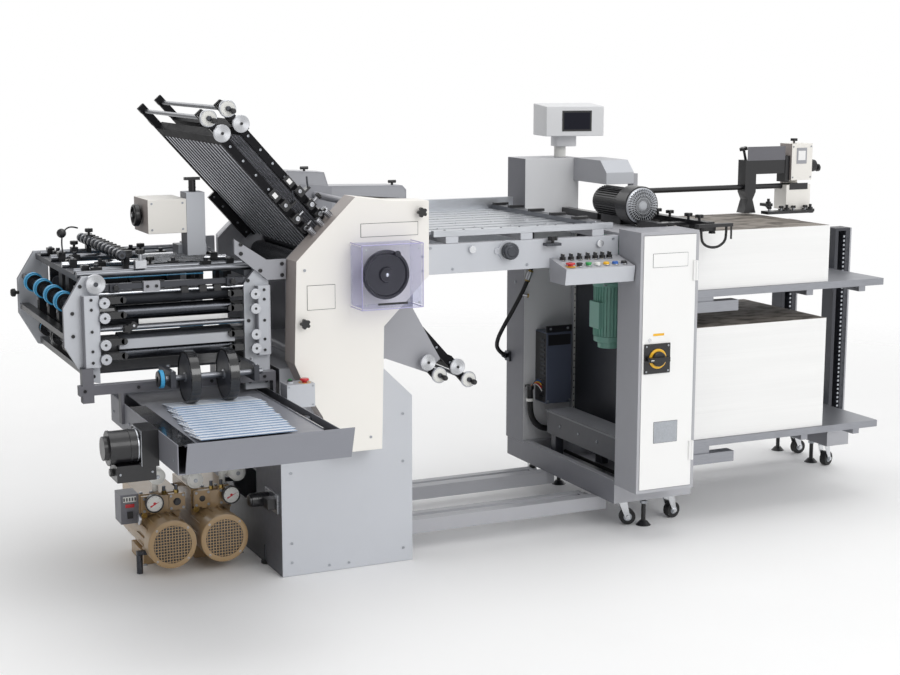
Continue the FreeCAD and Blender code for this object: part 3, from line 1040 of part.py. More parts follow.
def make_monitor():
    """Display housing on a neck that swivels on a fixed pole."""
    x, y = 1035.0, 320.0
    pole = tube((x, y, HOOD_TOP), Z_AXIS, 20.0, 10.0 + SHAFT_GAP, 36.0)
    node("rear_cabinet", pole)
    top = 1298.0
    low = 1192.0
    housing = prism_x([(-100.0, low), (-100.0, top - 8.0), (30.0, top), (30.0, low)], -86.0, 118.0)
    neck = box(-28.0, 42.0, -46.0, 16.0, HOOD_TOP + 36.0 + RUN_GAP, low)
    pin = rod((0, 0, HOOD_TOP + 6.0), Z_AXIS, 10.0, 34.0)
    monitor = join([housing, neck, pin])
    monitor.rotate(V(0, 0, 0), Z_AXIS, -8.6)
    monitor.translate(V(x, y, 0))
    node("monitor", monitor)


# ---------------------------------------------------------------- pile lift and feed head
ARM_Y = (PILE_NEAR_Y - 8.0, PILE_FAR_Y - 44.0)
LUG_Y = (20.0, 90.0)


def pile_board(name, top, arm_depth, arm_end):
    """Pile board with a lip, two fork arms at the left and two chain lugs at the right."""
    low = top - BOARD_THICK
    parts = [box(BOARD_LEFT, BOARD_RIGHT, PILE_NEAR_Y - 8.0, PILE_FAR_Y + 8.0, low, top)]
    parts[0] = parts[0].cut(box(BOARD_LEFT + 3.0, BOARD_RIGHT - 3.0, PILE_NEAR_Y - 5.0, PILE_FAR_Y + 5.0,
                                low - 1, top - 5.0))
    for y0 in ARM_Y:
        parts.append(box(BOARD_LEFT, arm_end, y0, y0 + 40.0, low - arm_depth, low - arm_depth + 34.0))
        parts.append(box(BOARD_LEFT, arm_end - 90.0, y0 + 6.0, y0 + 34.0, low - arm_depth + 33.0, top - 4.0))
    for x0 in (BOARD_RIGHT - 305.0, BOARD_RIGHT - 95.0):
        parts.append(box(x0, x0 + 26.0, PILE_NEAR_Y - 2.0, PILE_FAR_Y + 2.0, low - 18.0, top - 4.0))
    for y0 in LUG_Y:
        parts.append(box(BOARD_RIGHT - 4.0, COLUMN_X0 - RUN_GAP, y0, y0 + 22.0, low, top))
    node(name, join(parts))


def make_pile():
    """Two boards with their paper piles, and the chain columns and guide posts that they run on."""
    arm_end = BOARD_LEFT + 214.0
    pile_board("upper_pile_board", UPPER_BOARD_TOP, 48.0, arm_end)
    pile_board("lower_pile_board", LOWER_BOARD_TOP, 58.0, arm_end)
    for name, low, top in (("upper_pile", UPPER_BOARD_TOP, UPPER_PILE_TOP),
                           ("lower_pile", LOWER_BOARD_TOP, LOWER_PILE_TOP)):
        node(name, box(PILE_LEFT, PILE_RIGHT, PILE_NEAR_Y, PILE_FAR_Y, low + RUN_GAP, top))
    for y0 in (COLUMN_NEAR_Y, COLUMN_FAR_Y):
        column = box(COLUMN_X0, COLUMN_X1, y0, y0 + COLUMN_DEPTH, BASE_LOW + 50.0, COLUMN_TOP)
        slot = box(COLUMN_X0 + 14.0, COLUMN_X1 - 22.0, y0 - 1, y0 + COLUMN_DEPTH - 6.0, BASE_LOW + 70.0,
                   COLUMN_TOP - 10.0)
        node("pile_columns", column.cut(slot))
    node("pile_columns", box(COLUMN_X0 + 20.0, COLUMN_X1 - 20.0, COLUMN_NEAR_Y + COLUMN_DEPTH, COLUMN_FAR_Y,
                             COLUMN_TOP - 60.0, COLUMN_TOP - 20.0))
    for y0, low in zip(ARM_Y, (BASE_HIGH, BASE_LOW + 8.0)):
        node("pile_columns", box(FEEDER_RIGHT + 1.0, BOARD_LEFT - RUN_GAP, y0, y0 + 40.0, low,
                                 CABINET_HIGH - 24.0))


RAIL_Y = 60.0
RAIL_Z = 1016.0
RAIL_RADIUS = 9.0
HEAD_X = 1618.0
BAR_X = 1126.0


def make_feed_head():
    """Round rail from the hood, with the separating head that slides along it."""
    bracket = box(HOOD_ARM_RIGHT, HOOD_ARM_RIGHT + 16.0, RAIL_Y - 18.0, RAIL_Y + 18.0, 1000.0, 1076.0)
    rail = rod((HOOD_ARM_RIGHT + 16.0, RAIL_Y, RAIL_Z), X_AXIS, RAIL_RADIUS, 654.0)
    node("feed_bars", bracket)
    node("feed_bars", rail)
    x = HEAD_X
    post = prism_y([(x - 22.0, 1060.0), (x - 22.0, 1000.0), (x - 10.0, 975.0), (x - 24.0, 929.0), (x + 24.0, 929.0),
                    (x + 10.0, 975.0), (x + 22.0, 1000.0), (x + 22.0, 1060.0)], RAIL_Y - 22.0, RAIL_Y + 22.0)
    arm = box(x - 22.0, x + 140.0, RAIL_Y - 22.0, RAIL_Y + 22.0, 1060.0, 1108.0)
    post = join([post, arm, star_knob((x - 6.0, RAIL_Y, 1100.0), V(-0.25, 0, 0.97).normalize(), 14.0, 42.0)])
    post = post.cut(rod((x - 200.0, RAIL_Y, RAIL_Z), X_AXIS, RAIL_RADIUS + SHAFT_GAP, 400.0))
    block = box(x + 140.0, x + 158.0, RAIL_Y - 24.0, RAIL_Y + 24.0, 1030.0, 1120.0)
    node("feed_head", post)
    node("feed_head", block)
    node("feed_head", box(x + 158.0, x + 244.0, RAIL_Y - 34.0, RAIL_Y + 34.0, 1036.0, 1160.0))
    lower = box(x + 140.0, x + 240.0, RAIL_Y - 34.0, RAIL_Y + 34.0, 936.0, 1020.0)
    neck = box(x + 160.0, x + 220.0, RAIL_Y + 14.0, RAIL_Y + 30.0, 1020.0, 1036.0)
    node("feed_head", join([lower, neck]).cut(
        rod((x - 200.0, RAIL_Y, RAIL_Z), X_AXIS, RAIL_RADIUS + 2.0, 460.0)))
    knob = rod((x + 244.0, RAIL_Y, 1082.0), X_AXIS, 20.0, 34.0)
    node("feed_head", knob)
    node("feed_head", star_knob((x + 190.0, RAIL_Y, 1160.0), Z_AXIS, 12.0, 8.0))
    node("feed_head", box(x + 40.0, x + 230.0, RAIL_Y - 70.0, RAIL_Y - 30.0, 926.0, 936.0))


def make_feed_bars():
    """Suction bar and front stops along Y over the pile's leading edge."""
    deck_top = CABINET_HIGH - 12.0
    bar = box(BAR_X, BAR_X + 30.0, -430.0, 60.0, 944.0, 960.0)
    node("feed_bars", bar)
    end_plate = box(BAR_X - 40.0, BAR_X + 84.0, -450.0, -430.0, 946.0, 956.0)
    node("feed_bars", join([end_plate, rod((BAR_X + 80.0, -446.0, 908.0), Z_AXIS, 3.0, 40.0)]))
    node("feed_bars", box(1010.0, 1038.0, CABINET_FAR_Y, -222.0, deck_top, CABINET_HIGH + 10.0))
    node("feed_bars", box(1010.0, 1038.0, 20.0, REAR_NEAR_Y, deck_top, CABINET_HIGH + 10.0))
    for y in (-330.0, 24.0):
        node("feed_bars", box(1038.0, BAR_X, y, y + 36.0, 944.0, 952.0))
    for y in (-370.0, -310.0, -205.0, -135.0):
        node("fixed_knobs", star_knob((BAR_X + 15.0, y, 960.0), Z_AXIS, 13.0, 8.0))


def main():
    """Builds every sub-assembly and writes one STEP file for each node."""
    make_stand()
    make_side_plates()
    make_rollers()
    make_fold_plates()
    make_side_cover()
    make_guard()
    make_handwheel()
    make_rear_cover()
    make_cross_frames()
    make_cross_rollers()
    make_cross_rods()
    make_cross_drive()
    make_gate_box()
    make_delivery_frame()
    make_press_shaft()
    make_tray()
    make_sheets()
    make_delivery_motor()
    make_delivery_stop_box()
    make_pumps()
    make_table()
    make_control_box()
    make_base()
    make_cabinets()
    make_drive_parts()
    make_feeder_lines()
    make_monitor()
    make_pile()
    make_feed_head()
    make_feed_bars()
    os.makedirs("parts", exist_ok=True)
    for name, solids in NODES.items():
        shape = solids[0] if len(solids) == 1 else Part.Compound(solids)
        shape.exportStep(f"parts/{name}.step")
        print(name, len(shape.Solids), round(shape.Volume), shape.isValid())
    print(len(NODES), "nodes")


main()
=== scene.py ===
"""Visual model of an industrial paper folding machine: feeder, register table, fold units and delivery.

All sizes in the classes are millimetres in the machine's own frame. The origin is the centre of the fold
stand's bottom face, +X runs towards the pile feeder, -Y is the operator's side and +Z is up.
"""
import json
import logging
import math
from collections.abc import Iterable, Iterator
from dataclasses import dataclass
from enum import Enum
from itertools import product

import bmesh
import bpy
from mathutils import Matrix, Vector


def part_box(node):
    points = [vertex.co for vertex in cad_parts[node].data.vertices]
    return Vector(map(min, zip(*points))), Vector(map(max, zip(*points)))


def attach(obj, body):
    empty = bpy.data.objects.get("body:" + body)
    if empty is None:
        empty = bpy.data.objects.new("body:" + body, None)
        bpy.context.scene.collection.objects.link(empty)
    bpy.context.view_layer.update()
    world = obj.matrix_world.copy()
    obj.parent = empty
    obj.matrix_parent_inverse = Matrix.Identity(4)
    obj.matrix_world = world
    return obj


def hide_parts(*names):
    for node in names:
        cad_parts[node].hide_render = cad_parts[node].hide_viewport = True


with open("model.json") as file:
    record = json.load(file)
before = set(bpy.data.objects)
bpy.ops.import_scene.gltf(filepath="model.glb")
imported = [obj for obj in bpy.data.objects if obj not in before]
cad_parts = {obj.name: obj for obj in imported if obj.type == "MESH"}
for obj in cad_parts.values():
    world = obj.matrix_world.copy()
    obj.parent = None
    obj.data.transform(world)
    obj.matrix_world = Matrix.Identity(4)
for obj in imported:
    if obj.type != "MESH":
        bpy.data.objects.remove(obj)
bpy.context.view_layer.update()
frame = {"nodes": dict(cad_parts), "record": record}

MM = 0.001
COORDS_OUT = 3
MIX_OUT = 2
MIX_FIRST, MIX_SECOND = 6, 7
LOG = logging.getLogger("folding_machine")
Point = tuple[float, float, float]
Pair = tuple[float, float]
Region = tuple[float, float, float, float, float, float]


class Way(Enum):
    """Direction along one of the machine's axes."""

    X = (1, 0, 0)
    Y = (0, 1, 0)
    Z = (0, 0, 1)
    LEFT = (-1, 0, 0)
    NEAR = (0, -1, 0)
    DOWN = (0, 0, -1)

    @property
    def vector(self) -> Vector:
        """Unit vector of the direction."""
        return Vector(self.value)


X, Y, Z, LEFT, NEAR, DOWN = Way


# ---------------------------------------------------------------- finishes
class Signal:
    """A socket of a material's node tree that takes part in ordinary arithmetic."""

    def __init__(self, bench: "Bench", socket: bpy.types.NodeSocket) -> None:
        """Wraps a socket.

        Args:
            bench: Bench whose tree holds the socket.
            socket: Output socket to wrap.
        """
        self.bench = bench
        self.socket = socket

    def maths(self, operation: str, *inputs: "Signal | float") -> "Signal":
        """Output of one Math node on the given inputs."""
        return self.bench.add("ShaderNodeMath", {"operation": operation}, dict(enumerate(inputs)))

    def __add__(self, other: "Signal | float") -> "Signal":
        """Sum."""
        return self.maths("ADD", self, other)

    def __mul__(self, other: "Signal | float") -> "Signal":
        """Product."""
        return self.maths("MULTIPLY", self, other)

    def __sub__(self, other: "Signal | float") -> "Signal":
        """Difference."""
        return self.maths("SUBTRACT", self, other)

    def __rsub__(self, other: "Signal | float") -> "Signal":
        """Difference from a number."""
        return self.maths("SUBTRACT", other, self)

    def __pow__(self, other: float) -> "Signal":
        """Power."""
        return self.maths("POWER", self, other)

    def clamped(self) -> "Signal":
        """The value kept between 0 and 1."""
        return self.bench.add("ShaderNodeClamp", {}, {0: self})


class Bench:
    """One material under construction, with its node tree."""

    def __init__(self, name: str) -> None:
        """Starts a material with a bare principled shader."""
        self.material = bpy.data.materials.new(name)
        self.material.use_nodes = True
        self.tree = self.material.node_tree
        self.shader = self.tree.nodes["Principled BSDF"]

    def add(self, kind: str, settings: dict | None = None, inputs: dict | None = None,
            out: int = 0) -> Signal:
        """Adds any node.

        Args:
            kind: Node type.
            settings: Properties set before the sockets.
            inputs: Values or signals by socket name or number.
            out: Number of the output to wrap.

        Returns:
            The wrapped output.
        """
        node = self.tree.nodes.new(kind)
        for key, value in (settings or {}).items():
            setattr(node, key, value)
        self.feed(inputs or {}, node)
        return Signal(self, node.outputs[out])

    def feed(self, inputs: dict, node: bpy.types.Node | None = None) -> None:
        """Sets or links sockets.

        Args:
            inputs: Values or signals by socket name or number.
            node: Node whose sockets are set, or none for the shader.
        """
        for key, value in inputs.items():
            socket = (node or self.shader).inputs[key]
            if isinstance(value, Signal):
                self.tree.links.new(value.socket, socket)
            elif isinstance(value, tuple) and len(value) == 3 and socket.type == "RGBA":
                socket.default_value = (*value, 1)
            else:
                socket.default_value = value

    def place(self, stretch: Point = (1, 1, 1)) -> Signal:
        """Object coordinates, stretched along each axis."""
        coords = self.add("ShaderNodeTexCoord", out=COORDS_OUT)
        return self.add("ShaderNodeMapping", {}, {"Vector": coords, "Scale": stretch})

    def axis(self, number: int, origin: Point) -> Signal:
        """One of the object coordinates in metres, from an origin in millimetres."""
        coords = self.add("ShaderNodeTexCoord", out=COORDS_OUT)
        return self.add("ShaderNodeSeparateXYZ", {}, {0: coords}, out=number) - origin[number] * MM

    def noise(self, scale: float, detail: float = 2, stretch: Point = (1, 1, 1)) -> Signal:
        """Noise over the surface, from 0 to 1, by features per metre, octaves and stretch."""
        return self.add("ShaderNodeTexNoise", {}, {"Vector": self.place(stretch), "Scale": scale,
                                                   "Detail": detail})

    def stripes(self, value: Signal, scale: float) -> Signal:
        """Noise along one value."""
        return self.add("ShaderNodeTexNoise", {"noise_dimensions": "1D"}, {"W": value, "Scale": scale})

    def mix(self, factor: "Signal | float", first: "Signal | Point", second: "Signal | Point") -> Signal:
        """Blend of two colours, by the share of the second."""
        return self.add("ShaderNodeMix", {"data_type": "RGBA"},
                        {0: factor, MIX_FIRST: first, MIX_SECOND: second}, out=MIX_OUT)

    def bump(self, height: Signal, depth: float, strength: float = 1) -> Signal:
        """Normal from a height, its depth in millimetres and the share of the effect."""
        return self.add("ShaderNodeBump", {}, {"Height": height, "Distance": depth * MM,
                                               "Strength": strength})

    def thin(self, body: "Signal | float", clear: Point) -> None:
        """Lets the shader's surface pass light.

        Args:
            body: Share of the shader that stays.
            clear: Colour of what passes.
        """
        seen = self.add("ShaderNodeBsdfTransparent", {}, {0: clear})
        own = Signal(self, self.shader.outputs[0])
        joined = self.add("ShaderNodeMixShader", {}, {0: body, 1: seen, 2: own})
        self.tree.links.new(joined.socket, self.tree.nodes["Material Output"].inputs[0])


def tone(hexed: str) -> Point:
    """Linear colour of six hexadecimal digits."""
    parts = [int(hexed[i:i + 2], 16) / 255 for i in (0, 2, 4)]
    return tuple(c / 12.92 if c <= 0.04045 else ((c + 0.055) / 1.055) ** 2.4 for c in parts)


@dataclass(frozen=True)
class Finish:
    """A surface finish of the machine, its colour in hexadecimal digits."""

    name: str
    hexed: str
    roughness: float = 0.45

    def material(self) -> bpy.types.Material:
        """The finish's material, made once."""
        name = f"{self.name}_finish"
        known = bpy.data.materials.get(name)
        if known:
            return known
        bench = Bench(name)
        bench.feed({"Roughness": self.roughness})
        self.dress(bench)
        bench.material.diffuse_color = (*tone(self.hexed), 1)
        return bench.material

    def shade(self, factor: float = 1) -> Point:
        """The colour made darker or lighter."""
        return tuple(min(1.0, c * factor) for c in tone(self.hexed))

    def dress(self, bench: Bench) -> None:
        """Adds the finish's own nodes to a bench."""
        raise NotImplementedError


@dataclass(frozen=True)
class Paint(Finish):
    """Baked paint with a faint orange peel, handling marks and dust."""

    peel: float = 0.05
    dust: float = 0.12
    coat: float = 0
    sheen: float = 0.5

    def dress(self, bench: Bench) -> None:
        """Adds tone, gloss and peel.

        Args:
            bench: Bench of the material.
        """
        broad = bench.noise(2.6, 4)
        marks = (bench.noise(9, 6) - 0.52) * 3.2
        colour = bench.mix(broad, self.shade(1 - self.dust), self.shade(1 + self.dust * 0.6))
        rough = bench.noise(46, 3) * 0.14 + (broad * 0.1 + (self.roughness - 0.12))
        bench.feed({"Base Color": bench.mix((marks * self.dust).clamped(), colour, self.shade(0.62)),
                    "Roughness": rough, "Normal": bench.bump(bench.noise(420), self.peel, 0.5),
                    "Coat Weight": self.coat, "Specular IOR Level": self.sheen})


@dataclass(frozen=True)
class Metal(Finish):
    """Bare metal with fine streaks along one axis."""

    grain: Point = (3, 60, 60)
    stain: float = 0.25

    def dress(self, bench: Bench) -> None:
        """Adds streaks, stains and a fine grain.

        Args:
            bench: Bench of the material.
        """
        streak = bench.noise(14, 5, self.grain)
        stains = ((bench.noise(8, 4) - 0.55) * 4 * self.stain).clamped()
        colour = bench.mix(streak, self.shade(0.72), self.shade(1.18))
        bench.feed({"Base Color": bench.mix(stains, colour, self.shade(0.4)), "Metallic": 1,
                    "Roughness": streak * 0.24 + (self.roughness - 0.12),
                    "Normal": bench.bump(streak, 0.03, 0.6)})


@dataclass(frozen=True)
class Spun(Finish):
    """Metal disc turned about an axis along Y, with painted fans and rays of reflected light over its fine
    turning rings.
    """

    centre: Point = (0, 0, 0)

    def dress(self, bench: Bench) -> None:
        """Adds the painted highlight fans and rays, and the turning rings.

        Args:
            bench: Bench of the material.
        """
        across, up = bench.axis(0, self.centre), bench.axis(2, self.centre)
        angle = up.maths("ARCTAN2", up, across)
        # Painted highlight: two bright fans and fine rays round the centre stand in for the disc's
        # reflections; the rings are its turning marks.
        fans = angle.maths("COSINE", angle * 2 + 0.9) * 0.5 + 0.5
        rings = bench.stripes((across * across + up * up) ** 0.5, 900)
        light = fans * fans * 0.55 + bench.stripes(angle * 2.6, 5) * 0.35 + rings * 0.2
        bench.feed({"Base Color": bench.mix(light.clamped(), self.shade(0.42), self.shade(1.25)),
                    "Metallic": 0.6, "Roughness": rings * 0.2 + self.roughness})


@dataclass(frozen=True)
class Knurl(Finish):
    """Dark steel roller with a crossed knurl."""

    pitch: float = 170

    def dress(self, bench: Bench) -> None:
        """Adds two crossed bands.

        Args:
            bench: Bench of the material.
        """
        left, right = (bench.add("ShaderNodeTexWave", {"wave_type": "BANDS", "bands_direction": "DIAGONAL"},
                                 {"Vector": bench.place((1, side, 1)), "Scale": self.pitch}, out=1)
                       for side in (1.6, -1.6))
        lines = left * right
        wear = bench.noise(20, 4)
        bench.feed({"Base Color": bench.mix(lines * 0.5 + wear * 0.3, self.shade(0.45), self.shade(1.5)),
                    "Metallic": 0.85, "Roughness": wear * 0.2 + 0.34, "Normal": bench.bump(lines, 0.35)})


@dataclass(frozen=True)
class Moulded(Finish):
    """Moulded plastic or rubber with a fine grain."""

    grain: float = 0.04
    coat: float = 0

    def dress(self, bench: Bench) -> None:
        """Adds grain and slight wear.

        Args:
            bench: Bench of the material.
        """
        wear = bench.noise(30, 5)
        bench.feed({"Base Color": bench.mix(wear, self.shade(0.92), self.shade(1.1)),
                    "Roughness": wear * 0.2 + (self.roughness - 0.1),
                    "Normal": bench.bump(bench.noise(900), self.grain, 0.6), "Coat Weight": self.coat})


@dataclass(frozen=True)
class Clear(Finish):
    """Thin clear acrylic with a faint tint and fine scratches."""

    body: float = 0.2

    def dress(self, bench: Bench) -> None:
        """Mixes a clear pass with a glossy sheet.

        Args:
            bench: Bench of the material.
        """
        scratch = bench.noise(60, 6, (1, 1, 9))
        bench.feed({"Base Color": bench.mix(scratch, self.shade(), self.shade(0.9)),
                    "Roughness": scratch * 0.12 + 0.04, "IOR": 1.49,
                    "Normal": bench.bump(scratch, 0.02, 0.4)})
        bench.thin(self.body, (0.95, 0.955, 0.99))


@dataclass(frozen=True)
class Stack(Finish):
    """Cut edges of many sheets of paper lying on each other."""

    depth: float = 0.25

    def dress(self, bench: Bench) -> None:
        """Adds the lines of the sheets.

        Args:
            bench: Bench of the material.
        """
        leaves = bench.noise(30, 5, (0.02, 0.02, 30))
        soft = bench.noise(5, 3, (0.4, 0.4, 6))
        bench.feed({"Base Color": bench.mix(leaves * 0.6 + soft * 0.4, self.shade(0.86), self.shade(1.04)),
                    "Normal": bench.bump(leaves, self.depth, 0.5)})


@dataclass(frozen=True)
class Sheet(Finish):
    """Paper surface with soft mottling in a second tone."""

    second: str = "808080"
    share: float = 0.5
    stretch: Point = (1, 1, 1)
    scale: float = 12

    def mask(self, bench: Bench) -> Signal:
        """Where the second tone lies."""
        return ((bench.noise(self.scale, 6, self.stretch) - (1 - self.share)) * 5 + 0.5).clamped()

    def dress(self, bench: Bench) -> None:
        """Adds the mottling and the paper's tooth.

        Args:
            bench: Bench of the material.
        """
        bench.feed({"Base Color": bench.mix(self.mask(bench), self.shade(), tone(self.second)),
                    "Normal": bench.bump(bench.noise(700), 0.05, 0.4)})


@dataclass(frozen=True)
class Shingle(Sheet):
    """Overlapping folded sheets, white at each near edge and turning blue-grey towards where the next one
    lies over it: the sheets' own blue-grey tone together with painted shade under the overlap.
    """

    pitch: float = 27
    first: float = -868

    def mask(self, bench: Bench) -> Signal:
        """One pale to blue run for each sheet, broken up along the sheet; the darkening towards the next
        sheet is partly painted shade.
        """
        steps = bench.add("ShaderNodeTexWave",
                          {"wave_type": "BANDS", "bands_direction": "Y", "wave_profile": "SAW"},
                          {"Vector": bench.place(), "Scale": math.pi / (10 * self.pitch * MM),
                           "Phase Offset": math.tau * (-self.first / self.pitch % 1)}, out=1)
        return (steps * 1.5 * bench.noise(9, 4, (2.6, 0.25, 1)) - 0.12).clamped()


WHITE_GREY = Paint("light_grey_paint", "c6c9cf", 0.42, dust=0.07)
MID_GREY = Paint("mid_grey_paint", "a3a4aa", 0.42)
TRAY_GREY = Paint("tray_grey_paint", "8b8d95", 0.34)
FRAME_GREY = Paint("frame_grey_paint", "b2b3b8", 0.4, dust=0.08)
SHADE_GREY = Paint("shaded_grey_paint", "77787f", 0.44)
# Darker grey for the fold stand's left faces: painted shade.
STAND_SIDE_SHADE = Paint("stand_side_painted_shade", "56575d", 0.46)
BEAM_GREY = Paint("beam_grey_paint", "6c6c72", 0.42)
SCREEN_GREY = Paint("display_grey_paint", "e0e1e3", 0.42)
CREAM = Paint("cream_paint", "f3f0ea", 0.42, dust=0.03)
# Darker copy of the cream paint for the left and lower faces of cream parts: painted shade.
SHADED_CREAM = Paint("cream_painted_shade", "aaa19d", 0.45)
WHITE = Paint("white_paint", "f6f6f5", 0.36, dust=0.02)
BLACK = Paint("black_paint", "1b1b1e", 0.34, coat=0.25)
MATTE_BLACK = Paint("matte_black_paint", "1b1b1e", 0.6, sheen=0.12)
GLOSS_BLACK = Paint("gloss_black_paint", "121317", 0.2, coat=0.6)
DARK = Paint("dark_grey_paint", "3c3e45", 0.42)
BLUE_DARK = Paint("dark_blue_grey_paint", "565d6f", 0.38)
TAN = Paint("tan_casting_paint", "a88c66", 0.34, peel=0.14, coat=0.3)
TEAL = Paint("teal_paint", "86b8a9", 0.4)
SCREEN = Paint("screen_glass", "06071a", 0.3, peel=0, dust=0, sheen=0.2)
STEEL = Metal("bright_steel", "c9cbd0", 0.3)
STEEL_X = Metal("bright_steel_lengthways", "d2d4d8", 0.26, grain=(2, 70, 70))
STEEL_Y = Metal("bright_steel_crossways", "c9cbd0", 0.28, grain=(70, 2, 70))
ZINC = Metal("zinc_plate", "b4b8be", 0.4, grain=(20, 20, 20))
CHROME = Metal("chrome_plate", "dfe1e4", 0.16, grain=(30, 30, 30), stain=0.1)
OILED = Metal("oiled_steel", "55575c", 0.3, grain=(30, 30, 30))
BRASS = Metal("brass_fitting", "b59a5c", 0.3, grain=(30, 30, 30))
ALUMINIUM = Metal("drawn_aluminium", "c8cbd0", 0.36, grain=(2, 60, 60), stain=0.15)
BOARD = Metal("board_aluminium", "a2a4aa", 0.4, grain=(2, 60, 60))
BAR = Metal("dull_bar_steel", "85878c", 0.34)
RIB = Metal("ribbed_plate_steel", "d6d8de", 0.5, grain=(2, 70, 70))
ROLLER = Knurl("knurled_roller_steel", "4b4d52", 0.3)
BLACK_PLASTIC = Moulded("black_plastic", "19191b", 0.34, coat=0.2)
RUBBER = Moulded("black_rubber", "1b1b1c", 0.58, grain=0.1)
RED = Moulded("red_plastic", "c81e28", 0.26, coat=0.5)
YELLOW = Moulded("yellow_plastic", "f0b81b", 0.32, coat=0.3)
GREEN = Moulded("green_plastic", "1f9a4a", 0.26, coat=0.5)
BLUE = Moulded("blue_plastic", "1f5fb4", 0.26, coat=0.5)
PALE_PLASTIC = Moulded("pale_plastic", "e6e6e2", 0.34, coat=0.2)
BELT = Moulded("blue_belt", "3f9fcf", 0.5, grain=0.12)
ACRYLIC = Clear("clear_acrylic", "c9c6e2", 0.1, body=0.015)
# Copy of the acrylic, less clear and deeper lavender, for the guard's side walls: painted grazing-angle
# reflection.
ACRYLIC_SIDE_REFLECTION = Clear("acrylic_sides_painted_reflection", "b3b0dc", 0.1, body=0.22)
ACRYLIC_EDGE = Moulded("acrylic_edge", "a9a5cc", 0.2, coat=0.3)
PAPER_EDGE = Stack("paper_edges", "fafaf9", 0.75, depth=0.12)
PAPER_TOP = Sheet("paper_top", "8f8880", 0.7, second="4d4741", share=0.46, stretch=(1, 1.8, 1), scale=16)
FOLDED = Shingle("folded_sheet_paper", "eef1f6", 0.6, second="7f9cc0")
FOLDED_EDGE = Stack("folded_sheet_edges", "8fa8c6", 0.7, depth=0.1)


# ---------------------------------------------------------------- mesh building
def placed(name: str, data: bpy.types.ID) -> bpy.types.Object:
    """Makes an object and links it to the scene.

    Args:
        name: Its name.
        data: What it shows.

    Returns:
        The object.
    """
    made = bpy.data.objects.new(name, data)
    bpy.context.scene.collection.objects.link(made)
    return made


def toward(way: "Way | Vector") -> Vector:
    """Unit vector of a direction."""
    return way.vector if isinstance(way, Way) else way.normalized()


def along(start: Point, way: "Way | Vector") -> Matrix:
    """Placing that carries the Z axis onto a direction from a start point."""
    return Matrix.Translation(Vector(start)) @ Z.vector.rotation_difference(toward(way)).to_matrix().to_4x4()


def turned(place: Point, angle: float, axis: str) -> Matrix:
    """Placing at a point, turned by an angle in radians about an axis."""
    return Matrix.Translation(place) @ Matrix.Rotation(angle, 4, axis)


def around(centre: Point, reach: float, count: int, fixed: int = 1, first: float = 0) -> list[Point]:
    """Points evenly round a centre.

    Args:
        centre: The centre.
        reach: Distance of the points from it.
        count: How many.
        fixed: Number of the axis that they turn about.
        first: Place of the first one, as a share of a step.

    Returns:
        The points.
    """
    points = []
    for step in range(count):
        turn = math.tau * (step + first) / count
        shift = [reach * math.cos(turn), reach * math.sin(turn)]
        shift.insert(fixed, 0)
        points.append(tuple(a + b for a, b in zip(centre, shift)))
    return points


def span(node: str) -> tuple[Vector, list[float], Vector]:
    """Lowest corner, middle and highest corner of a CAD node in millimetres."""
    low, high = (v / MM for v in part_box(node))
    return low, [(a + b) / 2 for a, b in zip(low, high)], high


def tube(name: str, points: list[Point], radius: float, order: int = 4, steps: int = 6,
         round_steps: int = 2) -> bpy.types.Curve:
    """Curve data of a round tube bent smoothly through points.

    Args:
        name: Name of the data.
        points: Points of its middle line.
        radius: Radius.
        order: Order of the curve.
        steps: Steps between two points.
        round_steps: Fineness of its roundness.

    Returns:
        The curve.
    """
    line = bpy.data.curves.new(name, "CURVE")
    line.dimensions = "3D"
    spline = line.splines.new("NURBS")
    spline.points.add(len(points) - 1)
    for knot, place in zip(spline.points, points):
        knot.co = (*place, 1)
    spline.use_endpoint_u = True
    spline.order_u = order
    spline.resolution_u = steps
    line.bevel_depth = radius
    line.bevel_resolution = round_steps
    line.use_fill_caps = True
    return line


def within(point: Vector, region: Region) -> bool:
    """Whether a point lies in a box."""
    return all(region[2 * i] <= point[i] <= region[2 * i + 1] for i in range(3))


def grow(part: bmesh.types.BMesh, faces: list, move: Point) -> None:
    """Carries faces along a move, with walls behind them."""
    grown = bmesh.ops.extrude_face_region(part, geom=faces)["geom"]
    bmesh.ops.translate(part, vec=move, verts=[v for v in grown if isinstance(v, bmesh.types.BMVert)])


BODIES = {node: body for body, nodes in frame["record"]["behaviour"]["bodies"].items() for node in nodes}
SLOTS = {entry["node"]: entry["material_slot"] for entry in frame["record"]["subparts"]}


